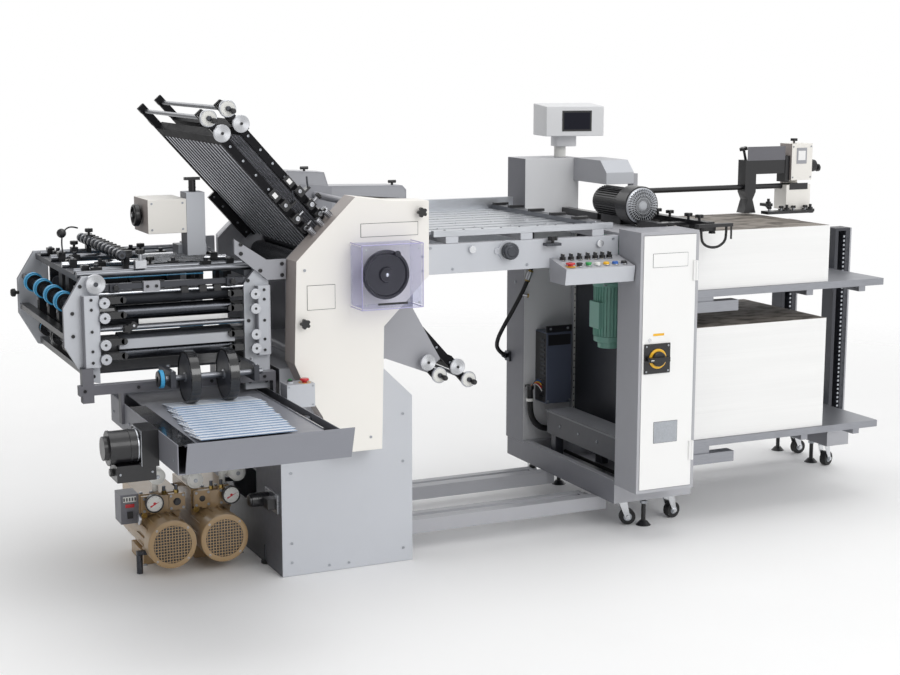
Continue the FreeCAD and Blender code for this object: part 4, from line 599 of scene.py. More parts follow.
class Form:
    """A mesh under construction, of any number of closed shapes with their finishes.

    Every method that adds or paints something returns the form, so that calls can follow each other. The
    class's own angles are in degrees.
    """

    weld = 0.001
    flat_angle = 0.4
    sharp_angle = 33
    bevel_angle = 40
    bevel_steps = 2
    lobes = 5
    lobe_steps = 8

    def __init__(self, finish: Finish, node: str = "") -> None:
        """Starts empty, or from a CAD node's merged mesh.

        Args:
            finish: First finish.
            node: CAD node to start from.
        """
        self.mesh = bmesh.new()
        self.node = node
        self.finishes: list[Finish] = []
        self.placing = Matrix.Identity(4)
        self.use(finish)
        if node:
            self.mesh.from_mesh(frame["nodes"][node].data)
            bmesh.ops.transform(self.mesh, matrix=Matrix.Scale(1 / MM, 4), verts=self.mesh.verts)
            bmesh.ops.remove_doubles(self.mesh, verts=self.mesh.verts, dist=2 * self.weld)
            bmesh.ops.dissolve_limit(self.mesh, angle_limit=math.radians(self.flat_angle),
                                     verts=self.mesh.verts, edges=self.mesh.edges, delimit=set())
            self.paint(self.mesh)

    def use(self, finish: Finish) -> "Form":
        """Gives the shapes that follow a finish.

        Args:
            finish: The finish.

        Returns:
            This form.
        """
        if finish not in self.finishes:
            self.finishes.append(finish)
        self.current = self.finishes.index(finish)
        return self

    def paint(self, mesh: bmesh.types.BMesh) -> None:
        """Gives all faces of a mesh the finish in use and smooth shading."""
        for face in mesh.faces:
            face.material_index = self.current
            face.smooth = True

    def take(self, part: bmesh.types.BMesh, move: Matrix | None = None) -> "Form":
        """Adds a finished shape.

        Args:
            part: The shape's own bmesh, freed here.
            move: Where it goes, if it isn't there yet.

        Returns:
            This form.
        """
        whole = self.placing if move is None else self.placing @ move
        bmesh.ops.transform(part, matrix=whole, verts=part.verts)
        bmesh.ops.recalc_face_normals(part, faces=part.faces)
        self.paint(part)
        carrier = bpy.data.meshes.new("carrier")
        part.to_mesh(carrier)
        part.free()
        self.mesh.from_mesh(carrier)
        bpy.data.meshes.remove(carrier)
        return self

    def block(self, x0: float, x1: float, y0: float, y1: float, z0: float, z1: float) -> "Form":
        """Adds a rectangular block.

        Args:
            x0: Lower limit in X.
            x1: Upper limit in X.
            y0: Lower limit in Y.
            y1: Upper limit in Y.
            z0: Lower limit in Z.
            z1: Upper limit in Z.

        Returns:
            This form.
        """
        part = bmesh.new()
        bmesh.ops.create_cube(part, size=1)
        size = Matrix.Diagonal((x1 - x0, y1 - y0, z1 - z0, 1))
        return self.take(part, Matrix.Translation(((x0 + x1) / 2, (y0 + y1) / 2, (z0 + z1) / 2)) @ size)

    def plate(self, middle: Pair, half: Pair, y0: float, y1: float) -> "Form":
        """Adds a block given by the middle and half size of its front, in X and Z."""
        (x, z), (a, b) = middle, half
        return self.block(x - a, x + a, y0, y1, z - b, z + b)

    def post(self, middle: Pair, half: Pair, z0: float, z1: float) -> "Form":
        """Adds a block given by the middle and half size of its plan, in X and Y."""
        (x, y), (a, b) = middle, half
        return self.block(x - a, x + a, y - b, y + b, z0, z1)

    def drum(self, start: Point, way: "Way | Vector", radius: float, length: float, sides: int = 28,
             end_radius: float | None = None) -> "Form":
        """Adds a round bar or a cone.

        Args:
            start: Centre of its first end.
            way: Direction.
            radius: Radius of the first end.
            length: Length.
            sides: Number of sides.
            end_radius: Radius of the other end, if it differs.

        Returns:
            This form.
        """
        part = bmesh.new()
        last = radius if end_radius is None else end_radius
        bmesh.ops.create_cone(part, cap_ends=True, cap_tris=False, segments=sides, radius1=radius,
                              radius2=last, depth=length)
        return self.take(part, along(start, way) @ Matrix.Translation((0, 0, length / 2)))

    def drums(self, starts: Iterable[Point], way: "Way | Vector", radius: float, length: float,
              sides: int) -> "Form":
        """Adds equal round bars."""
        for start in starts:
            self.drum(start, way, radius, length, sides)
        return self

    def lathe(self, start: Point, way: "Way | Vector", profile: list[Pair], sides: int,
              closed: bool = False) -> "Form":
        """Turns a profile about an axis.

        Args:
            start: Start of the axis.
            way: Direction of the axis.
            profile: Radius and height of each point.
            sides: Number of steps round.
            closed: Whether the profile returns to its first point, as on a ring.

        Returns:
            This form.
        """
        part = bmesh.new()
        points = [part.verts.new((radius, 0, height)) for radius, height in profile]
        pairs = list(zip(points, points[1:])) + ([(points[-1], points[0])] if closed else [])
        edges = [part.edges.new(pair) for pair in pairs]
        bmesh.ops.spin(part, geom=points + edges, cent=(0, 0, 0), axis=(0, 0, 1), dvec=(0, 0, 0),
                       angle=math.tau, steps=sides, use_merge=True, use_duplicate=False)
        bmesh.ops.remove_doubles(part, verts=part.verts, dist=self.weld)
        return self.take(part, along(start, way))

    def knob(self, start: Point, way: "Way | Vector", rim: list[Pair], sides: int = 36,
             top: float | None = None) -> "Form":
        """Turns a solid head.

        Args:
            start: Middle of its foot.
            way: Direction that it stands out in.
            rim: Radius and height of each point of its outline, from the foot up.
            sides: Number of steps round.
            top: Height of the middle of its top, where that isn't the last point's.

        Returns:
            This form.
        """
        return self.lathe(start, way, [(0, 0), *rim, (0, rim[-1][1] if top is None else top)], sides)

    def ring(self, start: Point, way: "Way | Vector", outer: float, inner: float, length: float,
             sides: int = 36) -> "Form":
        """Adds a round tube or ring."""
        profile = [(inner, 0), (outer, 0), (outer, length), (inner, length)]
        return self.lathe(start, way, profile, sides, closed=True)

    def prism(self, outline: list[Pair], y0: float, y1: float) -> "Form":
        """Carries an outline along Y.

        Args:
            outline: Its corners in X and Z.
            y0: Where it begins.
            y1: Where it ends.

        Returns:
            This form.
        """
        part = bmesh.new()
        grow(part, [part.faces.new([part.verts.new((a, y0, b)) for a, b in outline])], (0, y1 - y0, 0))
        return self.take(part)

    def pipe(self, points: list[Point], radius: float) -> "Form":
        """Adds a round bar bent smoothly through points.

        Args:
            points: Four or more points of its middle line.
            radius: Radius.

        Returns:
            This form.
        """
        line = tube("line", points, radius)
        carrier = placed("line", line)
        bpy.context.view_layer.update()
        mesh = bpy.data.meshes.new_from_object(carrier)
        part = bmesh.new()
        part.from_mesh(mesh)
        bmesh.ops.remove_doubles(part, verts=part.verts, dist=self.weld)
        bpy.data.objects.remove(carrier)
        bpy.data.curves.remove(line)
        bpy.data.meshes.remove(mesh)
        return self.take(part)

    def screws(self, places: Iterable[Point], way: Way, radius: float, height: float) -> "Form":
        """Adds socket-head screws with their hexagon recesses.

        Args:
            places: Where the heads meet the surface.
            way: Direction that they stand out in.
            radius: Radius of a head.
            height: Height of a head.

        Returns:
            This form.
        """
        profile = [(0, height * 0.35), (radius * 0.5, height * 0.35), (radius * 0.5, height),
                   (radius * 0.88, height), (radius, height * 0.85), (radius, 0), (0, 0)]
        for centre in places:
            self.lathe(centre, way, profile, 12)
        return self

    def screw(self, centre: Point, way: Way, radius: float, height: float) -> "Form":
        """Adds one socket-head screw."""
        return self.screws([centre], way, radius, height)

    def nuts(self, places: Iterable[Point], way: Way, radius: float, height: float) -> "Form":
        """Adds hexagon heads, each with a washer under it."""
        for centre in places:
            self.drum(centre, way, radius * 1.25, height * 0.25, 16).drum(centre, way, radius, height, 6)
        return self

    def star(self, base: Point, way: Way, radius: float, stem: float) -> "Form":
        """Adds a lobed clamping knob on a stem.

        Args:
            base: Foot of the stem.
            way: Direction that it stands out in.
            radius: Outer radius.
            stem: Length of the stem.

        Returns:
            This form.
        """
        self.drum(base, way, radius * 0.3, stem + 2, 14)
        part = bmesh.new()
        steps = self.lobes * self.lobe_steps
        rim = []
        for step in range(steps):
            turn = math.tau * step / steps
            reach = radius * (0.86 + 0.14 * math.cos(self.lobes * turn))
            rim.append(part.verts.new((reach * math.cos(turn), reach * math.sin(turn), 0)))
        grow(part, [part.faces.new(rim)], (0, 0, radius * 0.7))
        part.faces.ensure_lookup_table()
        caps = [f for f in part.faces if len(f.verts) == steps]
        bmesh.ops.recalc_face_normals(part, faces=part.faces)
        bmesh.ops.inset_region(part, faces=caps, thickness=radius * 0.16, depth=radius * 0.12)
        return self.take(part, along(Vector(base) + way.vector * stem, way))

    def spin(self, count: int, place: Point, axis: str, side: int = 1) -> Iterator[int]:
        """Turns the placing about an axis step by step, once round, and clears it at the end.

        Args:
            count: Number of steps.
            place: Point on the axis.
            axis: Letter of the axis.
            side: Side that it turns to, 1 or -1.

        Yields:
            Number of the step.
        """
        for step in range(count):
            self.placing = turned(place, side * math.tau * step / count, axis)
            yield step
        self.placing = Matrix.Identity(4)

    def shell(self, face: bmesh.types.BMFace) -> list[bmesh.types.BMFace]:
        """Finds the closed shape that a face belongs to.

        Args:
            face: The face.

        Returns:
            All faces of the shape.
        """
        group, seen = [face], {face}
        for member in group:
            for other in (f for edge in member.edges for f in edge.link_faces):
                if other not in seen:
                    seen.add(other)
                    group.append(other)
        return group

    def regions(self, *rules: tuple[Region, Finish], whole: bool = True) -> "Form":
        """Gives finishes to shapes or faces by where their middle lies.

        Args:
            rules: Boxes with the finish of what lies in them; the last that fits holds.
            whole: Whether whole closed shapes are taken, and not single faces.

        Returns:
            This form.
        """
        back = self.placing.inverted()
        marks = [(region, self.use(finish).current) for region, finish in rules]
        seen: set = set()
        for face in list(self.mesh.faces):
            if face in seen:
                continue
            group = self.shell(face) if whole else [face]
            seen.update(group)
            if whole:
                corners = [back @ v.co for member in group for v in member.verts]
                middle = [(min(c[i] for c in corners) + max(c[i] for c in corners)) / 2 for i in range(3)]
            else:
                middle = back @ face.calc_center_median()
            for region, index in marks:
                if within(middle, region):
                    for member in group:
                        member.material_index = index
        return self

    def facing(self, way: Way, finish: Finish, region: Region | None = None, limit: float = 0.7) -> "Form":
        """Gives a finish to the faces that look in a direction.

        Args:
            way: Direction that they look in.
            finish: Their finish.
            region: Box that holds their middles, or all.
            limit: Least cosine to the direction.

        Returns:
            This form.
        """
        self.use(finish)
        back = self.placing.inverted()
        for face in self.mesh.faces:
            face.normal_update()
            looks = face.normal.dot(self.placing.to_3x3() @ way.vector) >= limit
            if looks and (region is None or within(back @ face.calc_center_median(), region)):
                face.material_index = self.current
        return self

    def piece(self, name: str, body: str = "machine", slot: str = "grey_paint", edge: float = 0,
              replaces: str = "") -> None:
        """Makes the form a piece of the machine.

        Args:
            name: Name of the piece.
            body: Body that it moves with.
            slot: Material slot of the record; not used.
            edge: Width of the softened edges, or 0.
            replaces: CAD node that it stands for, if any.
        """
        data = bpy.data.meshes.new(name)
        bmesh.ops.transform(self.mesh, matrix=Matrix.Scale(MM, 4), verts=self.mesh.verts)
        self.mesh.to_mesh(data)
        self.mesh.free()
        for finish in self.finishes:
            data.materials.append(finish.material())
        data.set_sharp_from_angle(angle=math.radians(self.sharp_angle))
        made = placed(name, data)
        if edge:
            soften = made.modifiers.new("soft_edges", "BEVEL")
            soften.width = edge * MM
            soften.segments = self.bevel_steps
            soften.limit_method = "ANGLE"
            soften.angle_limit = math.radians(self.bevel_angle)
            soften.harden_normals = True
        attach(made, body)
        if replaces:
            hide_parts(replaces)
        LOG.info("%s: %d faces", name, len(data.polygons))

    def dress(self, edge: float = 0.8, node: str = "") -> None:
        """Shows the form in a CAD node's place, by default the one it started from."""
        node = node or self.node
        self.piece(f"{node}_dressed", BODIES[node], SLOTS[node], edge, node)


# ---------------------------------------------------------------- sub-assemblies
@dataclass
class Studio:
    """Camera, lights and floor. The fade of the floor is in metres."""

    place: Point = (-1638.7, -4513, 1444.1)
    turn: Point = (80.25, -0.06, -25.09)
    lens: float = 64.83
    sensor: float = 36
    far_clip: float = 100
    floor_reach: float = 9000
    floor_middle: Point = (600, -100, -0.5)
    fade_from: float = 2
    fade_rate: float = 0.4
    grade: Pair = (-0.35, 0.1)
    dim: float = 0.42
    bright: float = 1

    def camera(self) -> None:
        """Sets up the camera, which is made before anything else."""
        data = bpy.data.cameras.new("camera")
        data.lens = self.lens
        data.sensor_width = self.sensor
        data.clip_end = self.far_clip
        made = placed("camera", data)
        made.location = Vector(self.place) * MM
        made.rotation_euler = [math.radians(a) for a in self.turn]
        bpy.context.scene.camera = made

    def lights(self) -> None:
        """Soft boxes round the machine and a surround that is dimmer on the left."""
        for name, at, target, size, power in (
                ("key_light", (1.4, -5.4, 3.6), (0.6, 0, 0.7), 2.6, 78),
                ("top_light", (0.6, 0.2, 5), (0.6, 0, 0), 3.5, 42),
                ("left_light", (-4.6, -1.6, 2.8), (-0.4, 0, 0.8), 1.6, 12),
                ("rear_light", (-1, 4.6, 3.2), (0.4, 0, 0.8), 2.4, 20)):
            data = bpy.data.lights.new(name, "AREA")
            data.energy = power
            data.size = size
            made = placed(name, data)
            made.location = at
            made.rotation_euler = (Vector(target) - Vector(at)).to_track_quat("-Z", "Y").to_euler()
        self.surround()

    def surround(self) -> None:
        """White surround that dims towards the machine's left."""
        world = bpy.data.worlds.new("surround")
        world.use_nodes = True
        tree = world.node_tree
        coords = tree.nodes.new("ShaderNodeTexCoord")
        parts = tree.nodes.new("ShaderNodeSeparateXYZ")
        grade = tree.nodes.new("ShaderNodeMapRange")
        for socket, value in zip(grade.inputs[1:5], (*self.grade, self.dim, self.bright)):
            socket.default_value = value
        tree.links.new(coords.outputs["Generated"], parts.inputs[0])
        tree.links.new(parts.outputs["X"], grade.inputs[0])
        tree.links.new(grade.outputs[0], tree.nodes["Background"].inputs[1])
        tree.nodes["Background"].inputs[0].default_value = (1, 1, 1, 1)
        bpy.context.scene.world = world
        bpy.context.scene.view_settings.view_transform = "Standard"

    def floor(self) -> None:
        """Pale floor that fades into the surround."""
        mesh = bmesh.new()
        bmesh.ops.create_circle(mesh, cap_ends=True, segments=64, radius=self.floor_reach * MM)
        data = bpy.data.meshes.new("floor")
        mesh.to_mesh(data)
        mesh.free()
        bench = Bench("pale_floor")
        reach = bench.add("ShaderNodeVectorMath", {"operation": "LENGTH"}, {0: bench.place()}, out=1)
        tooth = bench.noise(3, 4)
        bench.feed({"Base Color": bench.mix(tooth, (0.95, 0.95, 0.95), (0.98, 0.98, 0.98)),
                    "Roughness": tooth * 0.1 + 0.6, "Specular IOR Level": 0.2})
        bench.thin(1 - ((reach - self.fade_from) * self.fade_rate).clamped(), (1, 1, 1))
        data.materials.append(bench.material)
        made = placed("floor", data)
        made.location = Vector(self.floor_middle) * MM


@dataclass
class FoldStand:
    """Floor cabinet under the fold unit."""

    left: float = -201
    near: float = -332
    fan_axis: Pair = (-232, 207)

    def build(self) -> None:
        """Dresses the cabinet and adds its screws, shelf and fan motor."""
        # Painted light and shade: the near faces take the lighter grey, the left faces a darker grey for the
        # shade on that side.
        Form(FRAME_GREY, "stand_cabinet").facing(NEAR, WHITE_GREY).facing(
            LEFT, STAND_SIDE_SHADE, limit=0.3).dress(1.6)
        form = Form(ZINC)
        spots = ((-172, 96), (-172, 40), (-60, 18), (0, 18), (170, 40), (170, 440), (170, 300), (-172, 300))
        form.screws([(x, self.near, z) for x, z in spots], NEAR, 4, 2)
        form.use(FRAME_GREY).block(-190, -30, -200, 200, 250, 253)
        form.use(DARK).block(-120, -40, -90, 60, 253, 330)
        form.use(BLACK).block(-160, -130, -60, 80, 253, 300)
        form.use(ZINC).screws(product((self.left,), (-116, 116), (170, 380)), LEFT, 4, 2)
        form.piece("stand_details", edge=0.4)
        self.fan()

    def fan(self) -> None:
        """Small black motor that looks out of the left wall, its silver bracket and its clips."""
        left, axis, foot = self.left, self.fan_axis, (-196, -180, 0)
        form = Form(STEEL).block(left - 6, left, -312, -206, 180, 236)
        form.use(BLACK).drum((left - 6, *axis), LEFT, 20, 52, 32)
        form.knob((left - 58, *axis), LEFT, [(17, 0), (17, 5), (12, 8)])
        for x in (-20, -30, -40):
            form.ring((left + x, *axis), X, 21.2, 19.5, 3)
        form.use(BLACK_PLASTIC).block(left - 30, left - 6, -300, -262, 192, 222)
        form.use(ZINC).screws([(left - 6, -300, 230), (left - 6, -216, 230)], LEFT, 3.4, 2)
        form.use(OILED).drum(foot, Z, 9, 56, 20).use(RUBBER).drum(foot, Z, 17, 8, 24)
        form.piece("stand_fan", slot="black_paint", edge=0.5)


@dataclass
class FoldUnit:
    """Sloping buckle fold unit with its plates, rollers, discs and dials."""

    slope: float = 48
    centre: Point = (20, 0, 875)
    rows: Pair = (-28, 28)
    half_rail: float = 11
    rail_out: float = 309.7
    side_out: float = 325
    journal: float = 305.01
    dial_near: float = -345
    upper_end: Pair = (604, 587)
    lower_end: Pair = (439, 516)
    discs: tuple[Pair, ...] = ((-354.5, 1249.5), (-301.5, 1274.5), (242.5, 586.5), (335.5, 566.5))

    def on_slope(self) -> Matrix:
        """Placing of the fold plates' own frame, X running down the slope."""
        return turned(self.centre, math.radians(self.slope), "Y")

    def build(self) -> None:
        """Dresses the CAD nodes and adds the fittings."""
        form = Form(RIB, "fold_plate_ribs")
        form.placing = self.on_slope()
        # Painted shade: the ribs' near sides take a darker grey, and their far sides and the undersides at
        # each row are black.
        form.facing(NEAR, BEAM_GREY).facing(Y, BLACK)
        for above in self.rows:
            form.facing(DOWN, BLACK, (-999, 999, -400, 400, above, above + 9))
        form.dress(0)
        Form(MATTE_BLACK, "fold_plate_frames").dress(1)
        Form(MID_GREY, "fold_side_frames").dress(1)
        for number in range(1, 7):
            Form(ROLLER, f"fold_roller_{number}").regions(
                ((-999, 999, -400, -self.journal, 0, 2000), STEEL),
                ((-999, 999, self.journal, 400, 0, 2000), STEEL), whole=False).dress()
        self.rails()
        self.near_fittings()
        for name in ("upper_dial_1", "upper_dial_2", "lower_dial_1", "lower_dial_2"):
            self.dial(name)

    def dial(self, name: str) -> None:
        """White dial with a bright rim, tick marks and a black crank knob.

        Args:
            name: CAD node of the dial.
        """
        _, (x, _, z), high = span(name)
        near = self.dial_near
        form = Form(BAR).drum((x, near, z), Y, 6, high.y - near, 20)
        form.use(STEEL_Y).knob((x, near, z), NEAR,
                               [(23.5, 0), (23.5, 5.4), (22, 7), (20.4, 7), (20, 6.4)], 48)
        form.use(PALE_PLASTIC).knob((x, near - 6.2, z), NEAR, [(20, 0), (20, 0.9), (12, 1)], 48, 1.2)
        form.use(BLACK).drums(around((x, near - 6.7, z), 18, 24), NEAR, 0.55, 0.7, 6)
        form.use(OILED).knob((x, near - 7, z), NEAR, [(7, 0), (7, 6), (5, 8)], 24)
        form.use(BLACK_PLASTIC).knob((x + 10, near - 7, z - 6), NEAR,
                                     [(5, 0), (5, 2), (7.4, 4), (8, 12), (7.4, 19), (5.6, 21.8)], 24, 22)
        form.dress(0, name)

    def rails(self) -> None:
        """Bolts, stop strips and end blocks of the plates' rails, and the faces of the stop discs."""
        out, half = self.rail_out, self.half_rail
        form = Form(ZINC)
        form.placing = self.on_slope()
        for side, ends, count in ((-1, self.upper_end, 9), (1, self.lower_end, 6)):
            for above, end in zip(self.rows, ends):
                form.use(ZINC)
                for step in range(count):
                    at = side * (110 + step * (end - 130) / count)
                    form.screw((at, -out, above), NEAR, 3.6, 2.4).screw((at, out, above), Y, 3.6, 2.4)
                form.use(BAR)
                form.drums([(side * end * share, -290, above) for share in (0.3, 0.52, 0.74)], Y, 4, 580, 14)
                form.use(BLACK)
                for y, x in product((-out - 9, out), (end - 60, end - 12)):
                    form.plate((side * x, above), (10, half), y, y + 9)
        form.block(-262, -88, 294, 306, -66, self.rows[0] - half - 0.3)
        form.use(ZINC).screws(product((-250, -210, -140, -100), (294,), (-52,)), NEAR, 3.4, 2)
        form.piece("fold_plate_fittings", slot="bright_steel", edge=0.5)
        for number, (x, z) in enumerate(self.discs, 1):
            face = Form(Spun(f"turned_disc_{number}", "d6d8dc", 0.2, centre=(x, 0, z)))
            face.knob((x, -351.8, z), NEAR, [(22.4, 0), (22.4, 0.5), (21.6, 1.2)], 48)
            face.use(BLACK).screw((x, -353, z), NEAR, 4, 3)
            face.piece(f"stop_disc_face_{number}", slot="bright_steel")

    def near_fittings(self) -> None:
        """Scale plates, levers, clamp blocks and knobs on the near rails of the upper plates."""
        form = Form(BLACK)
        form.placing = self.on_slope()
        near, rail = -self.side_out, -self.rail_out
        for above in self.rows:
            form.use(WHITE).block(-305, -290, rail - 10.5, rail - 9, above - 6, above + 6)
            form.use(BLACK).block(-314, -280, rail - 9, rail, above - 10, above + 10)
            form.block(-274, -246, near - 10, rail, above - 9, above + 12)
            form.block(-252, -246, near - 10, rail, above + 12, above + 30)
            form.use(STEEL).screw((-262, near - 10, above), NEAR, 5.5, 4)
            form.use(OILED).drum((-250, near - 4, above + 24), Vector((-0.8, -0.2, 0.5)), 2.6, 34, 12)
            for at in (-140, -176, -212):
                form.use(BLACK).plate((at, above), (12, 11), near - 12, near + 15.3)
                form.use(STEEL).screw((at, near - 12, above), NEAR, 7, 5)
                form.drum((at, near, above + 11), Z, 4, 16, 14)
        form.use(BLACK_PLASTIC)
        for at in (-140, -212):
            form.star((at, near, self.rows[1] + 22), Z, 10, 8)
        form.placing = Matrix.Identity(4)
        way = Vector((-0.7, 0, 0.713))
        for share in (0.32, 0.46, 0.6):
            start = Vector((-1 - 172 * share, -362, 1074 - 169 * share))
            form.use(STEEL).drum(start, way, 9, 24, 24).use(OILED)
            for ring in (5, 9, 13, 17):
                form.ring(start + way * ring, way, 9.6, 8.6, 1.6, 24)
            form.use(BLACK_PLASTIC).drum(start + way * 24, way, 5, 5, 20)
        form.piece("rail_clamps", slot="black_paint", edge=0.5)


@dataclass
class SideCover:
    """Cream cover, clear guard and main handwheel."""

    near: float = -407
    wheel: Pair = (65, 864)
    wheel_back: float = -456
    radius: float = 68
    guard_low: Point = (-16, -491, 773)
    guard_high: Point = (164, -407, 949)

    def build(self) -> None:
        """Dresses the cover, the guard and the wheel."""
        # The cover's left and lower faces take the darker cream: painted shade.
        Form(CREAM, "side_cover").facing(LEFT, SHADED_CREAM, limit=0.3).facing(DOWN, SHADED_CREAM, limit=0.3).dress(3)
        near = self.near
        plates = Form(BLACK)
        for x0, x1, z0, z1 in ((14, 186, 962, 1000), (-144, -62, 770, 838)):
            plates.use(BLACK).block(x0, x1, near - 0.8, near, z0, z1)
            plates.use(CREAM).block(x0 + 1.2, x1 - 1.2, near - 1.2, near, z0 + 1.2, z1 - 1.2)
        spots = ((200, 900), (200, 860), (-60, 400), (40, 400), (-150, 880))
        plates.use(ZINC).screws([(x, near, z) for x, z in spots], NEAR, 4, 2)
        plates.piece("cover_plates", slot="cream_paint", edge=0.3)
        self.guard()
        self.handwheel()
        self.rear_cover()

    def rear_cover(self) -> None:
        """Grey drive cover of the far side, its near plate above the fold unit and its two T knobs."""
        Form(FRAME_GREY, "rear_drive_cover").dress(0)
        extra = Form(FRAME_GREY)
        extra.prism([(-146, 902), (60, 1096), (185, 1089), (199, 1045), (455, 1039), (469, 1026), (469, 962),
                     (130, 962), (60, 900)], 326.2, 328.2)
        extra.use(BLACK_PLASTIC)
        for x, z in ((126, 1092), (428, 1040)):
            extra.drum((x, 345, z), Z, 4, 10, 16).drum((x - 13, 345, z + 12), X, 5, 26, 16)
        extra.piece("rear_cover_details", slot="grey_paint", edge=0.5)

    def guard(self) -> None:
        """Clear box with its tinted edges, its screws and its dark slot."""
        form = Form(ACRYLIC, "handwheel_guard")
        # The side, top and bottom walls take the acrylic copy with painted grazing-angle reflection.
        for way in (LEFT, X, Z, DOWN):
            form.facing(way, ACRYLIC_SIDE_REFLECTION)
        form.dress(1)
        extra = Form(ACRYLIC_EDGE)
        (x0, y0, z0), (x1, y1, z1) = self.guard_low, self.guard_high
        for x in (x0, x1):
            extra.drum((x, y0, z0), Z, 1.5, z1 - z0, 8)
            extra.drums([(x, y0, z0), (x, y0, z1)], Y, 1.5, y1 - y0, 8)
        extra.drums([(x0, y0, z0), (x0, y0, z1)], X, 1.5, x1 - x0, 8)
        extra.use(ZINC).screws(product((x0 + 12, x1 - 12), (y0,), (z0 + 13, z1 - 13)), NEAR, 3.4, 1.6)
        extra.use(BLACK_PLASTIC).block(30, 118, y0 - 1, y0 + 0.4, z0 + 11, z0 + 17)
        extra.piece("guard_fittings", slot="clear_acrylic", edge=0.2)

    def handwheel(self) -> None:
        """Dished black wheel with a rounded rim, silver hub and crank knob."""
        (x, z), back, rim = self.wheel, self.wheel_back, self.radius
        form = Form(BLACK_PLASTIC)
        form.knob((x, back, z), NEAR, [(rim - 3, 0), (rim, 3), (rim, 12), (rim - 3, 16), (rim - 8, 16),
                                       (rim - 11, 10), (40, 8), (22, 9), (19, 14), (19, 18)], 64)
        form.drum((x, back, z), Y, 12, 112)
        form.use(CHROME).knob((x, back - 18, z), NEAR, [(4.6, 0), (4.6, 0.6), (3, 1.4)], 24, 1.6)
        form.use(BLACK_PLASTIC).knob((x + 28, back - 13, z + 57), NEAR,
                                     [(5, 0), (5, 4), (8.2, 6), (9, 12), (8, 15.4), (5, 16)], 28)
        form.dress(0, "main_handwheel")


